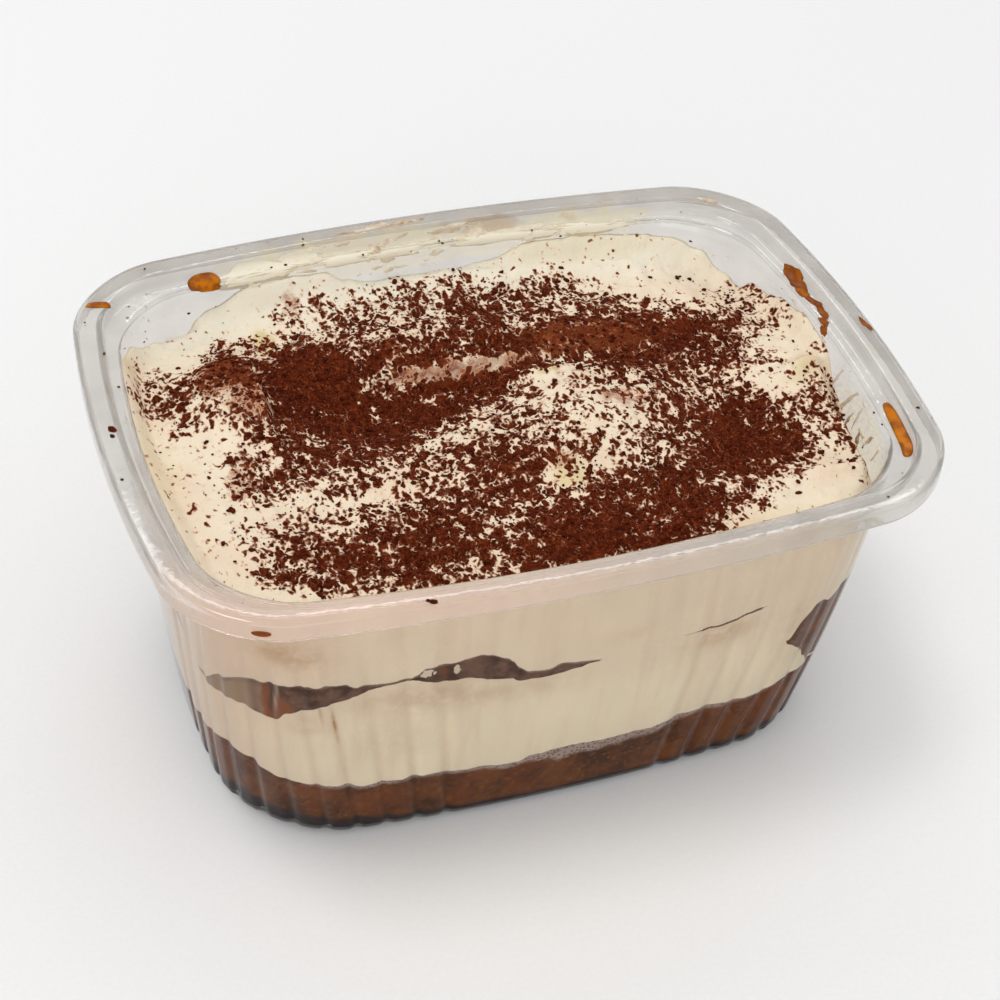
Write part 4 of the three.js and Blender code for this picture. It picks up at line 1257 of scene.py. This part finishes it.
def make_top_cream(form, material):
    """The upper cream: a fine grid for its face, a side down the wall and a plain underside."""
    bm = bmesh.new()
    place = bm.verts.layers.float.new("place")
    side = bm.verts.layers.float.new("side")
    bmesh.ops.create_grid(bm, x_segments=2 * TOP_STEPS_X, y_segments=2 * TOP_STEPS_Y, size=1.0)
    total = TOP_STEPS_X + TOP_STEPS_Y

    def low(x, y, place_, inset):
        return middle_faces(x, y, place_, inset)[1] - 0.1

    for vert in bm.verts:
        u, v = vert.co.x, vert.co.y
        scale = max(abs(u), abs(v), 1e-9)
        if abs(u) >= abs(v):
            along = (TOP_STEPS_Y * abs(v) / scale) / total
        else:
            along = 1 - (TOP_STEPS_X * abs(u) / scale) / total
        quadrant = 0 if u >= 0 and v >= 0 else 1 if v >= 0 else 2 if u < 0 else 3
        vert[place] = quadrant + (along if quadrant % 2 == 0 else 1 - along)
        vert[place] = min(vert[place], quadrant + 0.999999)
        vert.co = face_point(form, vert[place], min(1.0, scale), 0.0, cream_surface)
    loop = [edge for edge in bm.edges if edge.is_boundary]

    def side_point(part):
        def position(vert):
            vert[side] = 1.0
            bottom = face_point(form, vert[place], 1.0, 0.0, low)[2]
            top = face_point(form, vert[place], 1.0, 0.0, cream_surface)[2]
            z = mix(top, bottom, part)
            return (*wall_point(form, vert[place], z), z)

        return position

    for row in range(1, TOP_ROWS + 1):
        loop = next_loop(bm, loop, side_point(row / TOP_ROWS))
    for scale in UNDER_SCALES:

        def under(vert, scale=scale):
            vert[side] = 0.0
            return face_point(form, vert[place], scale, 0.0, low)

        loop = next_loop(bm, loop, under)
    bmesh.ops.contextual_create(bm, geom=loop)

    def on_top(value):
        return lambda co, place_, side_: value(co.x, co.y) * (1 - smooth_step(0, 1, side_))

    def cocoa(co, place_, side_):
        return cocoa_cover(co.x, co.y) if side_ < 0.5 and co.z > COCOA_FROM else NO_COCOA

    paint(bm, "cocoa", cocoa)
    lies = bm.verts.layers.float["cocoa"]
    for vert in bm.verts:
        heaped = COCOA_DEPTH * (0.6 + 1.2 * uneven(vert.co.x, vert.co.y, 1.1, 6.1, 2))
        vert.co.z += heaped * smooth_step(0.42, 0.6, vert[lies])
    paint(bm, "dust", on_top(lambda x, y: spread(*wander(x, y, 5, 1.4, 7.7), DUST_PLACES)))
    paint(bm, "yolk", on_top(lambda x, y: spread(*wander(x, y, 5, 1.6, 3.3), YOLK_PLACES)))
    paint_wall(bm, form)
    return add_piece(bm, "top_cream", material, ("cream_top",))


def scatter_nodes(name):
    """Geometry nodes that put a small lump on each point and roughen it."""
    tree = bpy.data.node_groups.new(name, "GeometryNodeTree")
    for way in ("INPUT", "OUTPUT"):
        tree.interface.new_socket("Geometry", in_out=way, socket_type="NodeSocketGeometry")
    add = partial(add_node, tree)
    points = add("NodeGroupInput")
    lump = add("GeometryNodeMeshIcoSphere", sockets={"Radius": 1.0, "Subdivisions": 1})
    size, turn = (
        add("GeometryNodeInputNamedAttribute", name, output="Attribute", data_type="FLOAT_VECTOR")
        for name in ("size", "turn")
    )
    lumps = {"Points": points, "Instance": lump, "Rotation": turn, "Scale": size}
    real = add("GeometryNodeRealizeInstances", add("GeometryNodeInstanceOnPoints", sockets=lumps))
    uneven_at = {"Vector": add("GeometryNodeInputPosition"), "Scale": 1.5 / MM, "Detail": 1.0}
    fold = add("ShaderNodeTexNoise", output="Color", sockets=uneven_at)
    fold = add("ShaderNodeVectorMath", fold, (0.5, 0.5, 0.5), operation="SUBTRACT")
    fold = add("ShaderNodeVectorMath", fold, size, operation="MULTIPLY")
    fold = add("ShaderNodeVectorMath", fold, operation="SCALE", sockets={"Scale": LUMP_ROUGHNESS})
    add("NodeGroupOutput", add("GeometryNodeSetPosition", sockets={"Geometry": real, "Offset": fold}))
    return tree


def scatter(name, places, material):
    """One joined mesh of small lumps. A place is its position, half sizes and turn, in millimetres."""
    points = bmesh.new()
    size = points.verts.layers.float_vector.new("size")
    turn = points.verts.layers.float_vector.new("turn")
    for position, half_sizes, angles in places:
        vert = points.verts.new(Vector(position) * MM)
        vert[size] = Vector(half_sizes) * MM
        vert[turn] = Vector(angles)
    mesh = bpy.data.meshes.new(name + "_points")
    points.to_mesh(mesh)
    points.free()
    carrier = bpy.data.objects.new(name + "_points", mesh)
    bpy.context.scene.collection.objects.link(carrier)
    carrier.modifiers.new("Lumps", "NODES").node_group = scatter_nodes(name)
    seen = carrier.evaluated_get(bpy.context.evaluated_depsgraph_get())
    joined = bpy.data.meshes.new_from_object(seen)
    bpy.data.objects.remove(carrier)
    joined.name = name
    joined.materials.clear()
    return link_piece(joined, name, material)


def cream_slope(x, y):
    """Turn that lays a flat lump on the cream's slope."""
    step = 0.6
    dx = (cream_level(x + step, y) - cream_level(x - step, y)) / (2 * step)
    dy = (cream_level(x, y + step) - cream_level(x, y - step)) / (2 * step)
    return math.atan(dy), -math.atan(dx)


# Half sizes of the field in which cocoa is sieved, wider for the single lumps and the grains.
CLUMP_FIELD = (62, 44)
LOOSE_FIELD = (63, 45)
LUMP_ROUGHNESS = 1.1
GRAIN_HEIGHT = 0.7
RIM_SPECKS = 170
# Single clumps on the rim: place, way in and half length.
RIM_CLUMPS = [(1.976, 2.4, 1.0), (1.988, 2.1, 0.6), (2.748, 0.6, 0.8), (2.742, 0.9, 0.5)]


def inside_wall(form, x, y, margin):
    """Whether a place on the cream is clear of the wall."""
    outline = form.inside(CREAM_LEVEL, margin)
    px, py = abs(x), abs(y)
    if px > outline.half_x + outline.short_bow or py > outline.half_y + outline.long_bow:
        return False
    x_line = px - outline.short_bow * (1 - (py / outline.half_y) ** 2) * clamp01(px / outline.half_x)
    y_line = py - outline.long_bow * (1 - (px / outline.half_x) ** 2) * clamp01(py / outline.half_y)
    if x_line > outline.half_x or y_line > outline.half_y:
        return False
    cx, cy = outline.half_x - outline.corner, outline.half_y - outline.corner
    return not (x_line > cx and y_line > cy and math.hypot(x_line - cx, y_line - cy) > outline.corner)


def make_cocoa(form, food, material):
    """Scatters the cocoa's clumps, its single lumps and its grains."""
    draw = random.Random(food.seed)
    clumps, grains = [], []

    def sieve(pile, count, field, margin, likely, sizes, height):
        """Lays lumps on the cream, turned at random and tilted with the slope, up to a count."""
        smallest, largest, rarity = sizes
        while len(pile) < count:
            x, y = draw.uniform(-field[0], field[0]), draw.uniform(-field[1], field[1])
            if not inside_wall(form, x, y, margin) or draw.random() >= likely(x, y):
                continue
            radius = mix(smallest, largest, draw.random() ** rarity)
            part = draw.uniform(*height) if height else GRAIN_HEIGHT
            half_length = radius * draw.uniform(0.95, 1.4)
            half_sizes = (half_length, radius * draw.uniform(0.7, 1.0), radius * part)
            z = cream_level(x, y) + COCOA_DEPTH * 0.5
            turn = (*cream_slope(x, y), draw.uniform(0, math.tau))
            pile.append(((x, y, z), half_sizes, turn))

    def in_blots(x, y):
        return cocoa_amount(x, y) ** 1.5

    def anywhere(x, y):
        return 0.08 + cocoa_amount(x, y)

    def grain_anywhere(x, y):
        return 0.05 + cocoa_amount(x, y)

    loose = food.clumps + food.specks
    sieve(clumps, food.clumps, CLUMP_FIELD, 2.5, in_blots, (0.16, 0.5, 2.0), (0.4, 0.7))
    sieve(clumps, loose, LOOSE_FIELD, 2.5, anywhere, (0.18, 0.7, 2.4), (0.5, 0.8))
    sieve(grains, food.grains, LOOSE_FIELD, 2.0, grain_anywhere, (0.08, 0.22, 2), None)
    # Specks that stick to the rim, the ledge and the inside of the wall.
    for _ in range(RIM_SPECKS):
        place, run = draw.uniform(0, 4), draw.choice((draw.uniform(0, 10), draw.uniform(9, 15)))
        radius = mix(0.07, 0.3, draw.random() ** 3)
        point = form.skin(place, run)
        if run > 9.5 and point.z < along_line(CREAM_EDGE, place)[0] + 0.3:
            continue
        grains.append((point, (radius * 1.3, radius, radius * 0.7), (0, 0, draw.uniform(0, 6))))
    for place, run, radius in RIM_CLUMPS:
        clumps.append((form.skin(place, run), (radius, radius * 0.7, 0.3), (0, 0, place)))
    scatter("cocoa_clumps", clumps, material)
    scatter("cocoa_grains", grains, material)


LENS_STEPS = (-0.9, -0.45, 0.0, 0.45, 0.9)  # where the face under a lens is felt, across it


def add_lens(bm, form, place, run, half_along, half_across, thickness, turn, ragged, square=1.0):
    """A thin lens of something that clings to the tub's upper face."""
    rim = bm.verts.layers.float["rim"]
    verts = bmesh.ops.create_icosphere(bm, subdivisions=3, radius=1.0)["verts"]
    seed = 7.0 * place + run
    for vert in verts:
        u, v, w = vert.co
        angle = math.atan2(v, u)
        edge = Vector((math.cos(angle), math.sin(angle), seed))
        reach = 1 + ragged * (noise.noise(edge * 1.3) + 0.5 * noise.noise(edge * 3.1))
        u, v = (math.copysign(abs(part) ** square, part) * reach for part in (u, v))
        along = u * math.cos(turn) * half_along - v * math.sin(turn) * half_across
        across = u * math.sin(turn) * half_along + v * math.cos(turn) * half_across
        at = (place + along / form.quarter_length) % 4
        here = [form.skin(at, run + across + step) for step in LENS_STEPS]
        base = sum(here, Vector()) / len(here)
        ahead = form.skin((at + 0.004) % 4, run + across)
        normal = (ahead - here[2]).cross(here[4] - here[0]).normalized()
        if (normal.dot(base) if run < 0 else normal.z) < 0:
            normal.negate()
        vert.co = base + normal * (w * thickness if w > 0 else w * 0.1)
        vert[rim] = 1 - abs(w)
    return verts


# Place, way in, half sizes, thickness, turn, raggedness, squareness and how dry.
COFFEE_DROPS = [
    (3.776, 6.9, 6.4, 1.25, 0.6, 0.0, 0.05, 0.6, 0.0),
    (1.368, 7.7, 2.2, 2.2, 0.6, 0.1, 0.05, 0.8, 0.0),
    (1.672, 2.7, 2.4, 1.1, 0.45, -1.1, 0.1, 1.0, 0.1),
    (0.122, 6.7, 2.0, 1.5, 0.3, 0.3, 0.5, 1.0, 0.5),
    (0.104, 7.1, 1.7, 1.1, 0.3, 0.4, 0.5, 1.0, 0.7),
    (0.086, 7.7, 1.0, 1.1, 0.3, 0.2, 0.5, 1.0, 0.5),
    (0.07, 7.4, 1.0, 0.6, 0.25, 0.1, 0.5, 1.0, 0.7),
    (0.056, 6.8, 1.0, 0.8, 0.3, 0.4, 0.5, 1.0, 0.8),
    (0.04, 7.2, 1.2, 0.7, 0.25, 0.2, 0.5, 1.0, 0.5),
    (0.024, 8.2, 0.8, 0.9, 0.25, 0.2, 0.5, 1.0, 0.6),
    (0.014, 9.4, 0.6, 1.1, 0.2, 0.0, 0.5, 1.0, 0.6),
    (2.488, -1.8, 1.7, 0.6, 0.2, 0.0, 0.1, 1.0, 1.0),
    (3.984, 0.9, 1.2, 0.5, 0.2, 0.3, 0.6, 1.0, 0.6),
    (2.572, 10.2, 1.0, 0.8, 0.15, 0.0, 0.3, 1.0, 0.0),
]


def make_coffee(form, material):
    """Drops on the rim and the ledge, and the run down the inside of the right wall."""
    bm = bmesh.new()
    bm.verts.layers.float.new("rim")
    dried = bm.verts.layers.float.new("dried")
    for *sizes, dry in COFFEE_DROPS:
        for vert in add_lens(bm, form, *sizes):
            vert[dried] = dry
    return add_piece(bm, "coffee_drops", material)


# Dabs of cream on the upper face of the tub: first and last place, first and last way in, how many,
# their longest half size and how strongly coffee stains them.
DABS = [
    (0.96, 1.2, 5.0, 10.4, 18, 1.3, 0.2), (1.16, 1.34, 6.6, 10.8, 10, 1.6, 0.0),
    (0.55, 0.86, 8.4, 12.0, 12, 1.4, 0.0), (0.94, 1.16, 11.6, 13.0, 8, 1.0, 0.1),
    (1.0, 1.14, 1.4, 3.0, 5, 1.2, 0.9), (3.46, 3.96, 10.4, 18.0, 18, 1.4, 0.0),
    (0.0, 0.12, 10.6, 13.5, 6, 0.9, 0.6), (3.2, 3.4, 4.6, 8.2, 12, 1.0, 0.0),
    (0.25, 0.4, 9.0, 14.0, 5, 0.6, 0.1), (1.42, 1.62, 8.0, 13.0, 5, 0.6, 0.3),
]

# Single smears: place, way in, half sizes, thickness, turn and how strongly coffee stains them.
SMEARS = [
    (1.075, 2.2, 5.2, 0.5, 0.12, 0.04, 1.0), (1.02, 1.9, 3.2, 0.4, 0.12, 0.08, 0.9),
    (1.08, 7.3, 0.6, 1.0, 0.15, 0.4, 1.0), (1.06, 6.4, 1.4, 0.5, 0.12, 0.7, 0.6),
    (1.035, 5.4, 1.8, 0.45, 0.12, 0.5, 0.5), (0.945, 5.2, 2.4, 0.9, 0.12, 0.2, 0.5),
    (0.905, 6.9, 1.6, 1.5, 0.12, 0.6, 0.5), (0.84, 7.6, 4.5, 0.7, 0.1, 0.1, 0.3),
    (1.27, 8.4, 6.5, 2.6, 0.08, 0.1, 0.0), (1.2, 6.0, 3.6, 1.6, 0.08, 0.3, 0.05),
    (1.13, 8.8, 4.5, 1.1, 0.08, 0.0, 0.0), (1.05, 9.2, 4.5, 0.8, 0.08, 0.0, 0.05),
    (0.86, 9.0, 7.0, 1.1, 0.08, 0.0, 0.0), (0.7, 9.2, 6.0, 1.3, 0.08, 0.0, 0.0),
    (0.43, 3.4, 2.8, 0.5, 0.1, 0.0, 0.7), (3.95, 14.5, 2.6, 0.25, 0.06, 1.3, 0.3),
    (3.9, 14.6, 3.2, 0.3, 0.06, 1.2, 0.45), (3.865, 15.4, 3.0, 0.25, 0.06, 1.4, 0.3),
    (3.845, 18.2, 1.7, 0.45, 0.08, 1.5, 1.0), (3.815, 15.8, 2.2, 0.35, 0.06, 1.2, 0.8),
    (3.885, 17.6, 2.4, 0.22, 0.06, 1.3, 0.5), (3.78, 15.2, 2.4, 0.25, 0.06, 1.3, 0.4),
    (3.92, 17.8, 2.2, 0.3, 0.06, 1.1, 0.2),
]


def make_smears(form, food, material):
    """Dabs of cream and coffee on the rim and inside the wall."""
    draw = random.Random(food.seed + 5)
    bm = bmesh.new()
    bm.verts.layers.float.new("rim")
    stain = bm.verts.layers.float.new("stain")
    for start, end, near, far, count, largest, stained in DABS:
        for _ in range(count):
            place, run = draw.uniform(start, end), draw.uniform(near, far)
            half = largest * mix(0.25, 1.0, draw.random() ** 2)
            across, thickness = half * draw.uniform(0.25, 0.6), draw.uniform(0.12, 0.3)
            turn = draw.uniform(-0.5, 0.5)
            verts = add_lens(bm, form, place, run, half, across, thickness, turn, 0.5)
            strength = clamp01(stained + draw.uniform(-0.2, 0.3))
            for vert in verts:
                vert[stain] = strength
    for *sizes, stained in SMEARS:
        for vert in add_lens(bm, form, *sizes, 0.7):
            vert[stain] = stained
    return add_piece(bm, "cream_smears", material)


# ---- Operators ----------------------------------------------------------------------------------


# The rim has polypropylene's refractive index. The wall has less, because the food touches it from
# behind, and a veil of reflected light would hide the food.
RIM_BENDING = 1.49
WALL_BENDING = 1.25


def tub_form(context):
    return TubForm(context.scene.dessert_tub)


class DESSERT_OT_tub(Operator):
    """Makes the clear tub"""

    bl_idname = "dessert.tub"
    bl_label = "Clear tub"

    def execute(self, context):
        finish = context.scene.dessert_finish
        wall_tints = (finish.wall, hex_colour("#EFEDEA"))
        rim_tints = (finish.rim, hex_colour("#DAD6D1"))
        wall = plastic_material("clear polypropylene", wall_tints, 0.04, 1.0, WALL_BENDING, False)
        rim = plastic_material("milky clear polypropylene", rim_tints, 0.06, 0.78, RIM_BENDING, True)
        make_tub(tub_form(context), wall, rim)
        return {"FINISHED"}


class DESSERT_OT_sponges(Operator):
    """Makes the base sponge and the middle sponge"""

    bl_idname = "dessert.sponges"
    bl_label = "Sponges"

    def execute(self, context):
        form = tub_form(context)
        finish = context.scene.dessert_finish
        make_sponge_base(form, base_sponge_material(finish))
        make_middle_sponge(form, middle_sponge_material(finish))
        return {"FINISHED"}


class DESSERT_OT_creams(Operator):
    """Makes the lower and the upper cream"""

    bl_idname = "dessert.creams"
    bl_label = "Creams"

    def execute(self, context):
        form = tub_form(context)
        cream = cream_material(context.scene.dessert_finish)
        make_lower_cream(form, cream)
        make_top_cream(form, cream)
        return {"FINISHED"}


class DESSERT_OT_cocoa(Operator):
    """Scatters the cocoa's clumps and grains"""

    bl_idname = "dessert.cocoa"
    bl_label = "Cocoa"

    def execute(self, context):
        material = cocoa_material(context.scene.dessert_finish)
        make_cocoa(tub_form(context), context.scene.dessert_food, material)
        return {"FINISHED"}


class DESSERT_OT_stains(Operator):
    """Adds the coffee drops and the cream smears on the tub"""

    bl_idname = "dessert.stains"
    bl_label = "Drops and smears"

    def execute(self, context):
        form = tub_form(context)
        finish = context.scene.dessert_finish
        make_coffee(form, coffee_material(finish))
        make_smears(form, context.scene.dessert_food, smear_material(finish))
        return {"FINISHED"}


# The stage, in metres and degrees. A softbox has its place, its width and its depth.
FLOOR_HALF = 3.0
LIGHT_AIM = (0, 0, 0.04)
SOFTBOXES = {
    "overhead": ((-0.3, 0.15, 1.0), 0.34, 0.24),
    "front_fill": ((-0.35, -0.9, 0.4), 0.8, 0.6),
    "strip": ((0.25, 0.75, 0.95), 1.0, 0.07),
}
CAMERA_AZIMUTH = -22.19
CAMERA_ELEVATION = 40.85
CAMERA_ROLL = 4.45
CAMERA_AIM = Vector((0.0088516, 0.0186974, 0.0193056))
CAMERA_DISTANCE = 0.42714
CAMERA_FILM = 36  # millimetres


def add_softbox(scene, name, place, width, depth, watts):
    light = bpy.data.lights.new(name, "AREA")
    light.shape = "RECTANGLE"
    light.size, light.size_y = width, depth
    light.energy = watts
    lamp = bpy.data.objects.new(name, light)
    lamp.location = place
    lamp.rotation_euler = (Vector(LIGHT_AIM) - Vector(place)).to_track_quat("-Z", "Y").to_euler()
    scene.collection.objects.link(lamp)


def add_camera(scene, lens):
    azimuth, elevation, roll = map(math.radians, (CAMERA_AZIMUTH, CAMERA_ELEVATION, CAMERA_ROLL))
    turn = (
        Matrix.Rotation(azimuth, 3, "Z")
        @ Matrix.Rotation(math.pi / 2 - elevation, 3, "X")
        @ Matrix.Rotation(roll, 3, "Z")
    )
    place = CAMERA_AIM + turn @ Vector((0, 0, CAMERA_DISTANCE))
    camera = bpy.data.objects.new("camera", bpy.data.cameras.new("camera"))
    camera.matrix_world = Matrix.Translation(place) @ turn.to_4x4()
    camera.data.lens = lens
    camera.data.sensor_width = CAMERA_FILM
    camera.data.clip_start = 0.01
    scene.collection.objects.link(camera)
    scene.camera = camera


class DESSERT_OT_stage(Operator):
    """Makes the floor, the lights and the camera"""

    bl_idname = "dessert.stage"
    bl_label = "Stage"

    def execute(self, context):
        scene = context.scene
        stage = scene.dessert_stage
        bm = bmesh.new()
        bmesh.ops.create_grid(bm, x_segments=1, y_segments=1, size=FLOOR_HALF)
        mesh = bpy.data.meshes.new("floor")
        bm.to_mesh(mesh)
        bm.free()
        mesh.materials.append(floor_material(scene.dessert_finish))
        floor = bpy.data.objects.new("floor", mesh)
        scene.collection.objects.link(floor)

        world = bpy.data.worlds.new("studio")
        world.use_nodes = True
        background = world.node_tree.nodes["Background"]
        background.inputs["Color"].default_value = hex_colour("#FFFFFF")
        background.inputs["Strength"].default_value = stage.surround
        scene.world = world
        for name, (place, width, depth) in SOFTBOXES.items():
            add_softbox(scene, name, place, width, depth, getattr(stage, name))
        add_camera(scene, stage.lens)
        scene.view_settings.view_transform = "Standard"
        return {"FINISHED"}


class DESSERT_PT_pieces(Panel):
    """Lists the dessert's pieces"""

    bl_idname = "DESSERT_PT_pieces"
    bl_label = "Layered dessert"
    bl_space_type = "VIEW_3D"
    bl_region_type = "UI"
    bl_category = "Dessert"

    def draw(self, context):
        for kind in SETTINGS:
            group = getattr(context.scene, kind)
            for name in group.bl_rna.properties.keys():
                if name not in ("rna_type", "name"):
                    self.layout.prop(group, name)
        for operator in OPERATORS:
            self.layout.operator(operator.bl_idname)


OPERATORS = (
    DESSERT_OT_tub,
    DESSERT_OT_sponges,
    DESSERT_OT_creams,
    DESSERT_OT_cocoa,
    DESSERT_OT_stains,
    DESSERT_OT_stage,
)
SETTINGS = {
    "dessert_tub": TubSettings,
    "dessert_food": FoodSettings,
    "dessert_finish": FinishSettings,
    "dessert_stage": StageSettings,
}
CLASSES = (*SETTINGS.values(), *OPERATORS, DESSERT_PT_pieces)


def register():
    for cls in CLASSES:
        bpy.utils.register_class(cls)
    for name, settings in SETTINGS.items():
        setattr(bpy.types.Scene, name, PointerProperty(type=settings))


def unregister():
    for name in SETTINGS:
        delattr(bpy.types.Scene, name)
    for cls in reversed(CLASSES):
        bpy.utils.unregister_class(cls)


def main():
    register()
    bpy.ops.dessert.stage()
    bpy.ops.dessert.sponges()
    bpy.ops.dessert.creams()
    bpy.ops.dessert.cocoa()
    bpy.ops.dessert.stains()
    bpy.ops.dessert.tub()


if __name__ == "__main__":
    main()
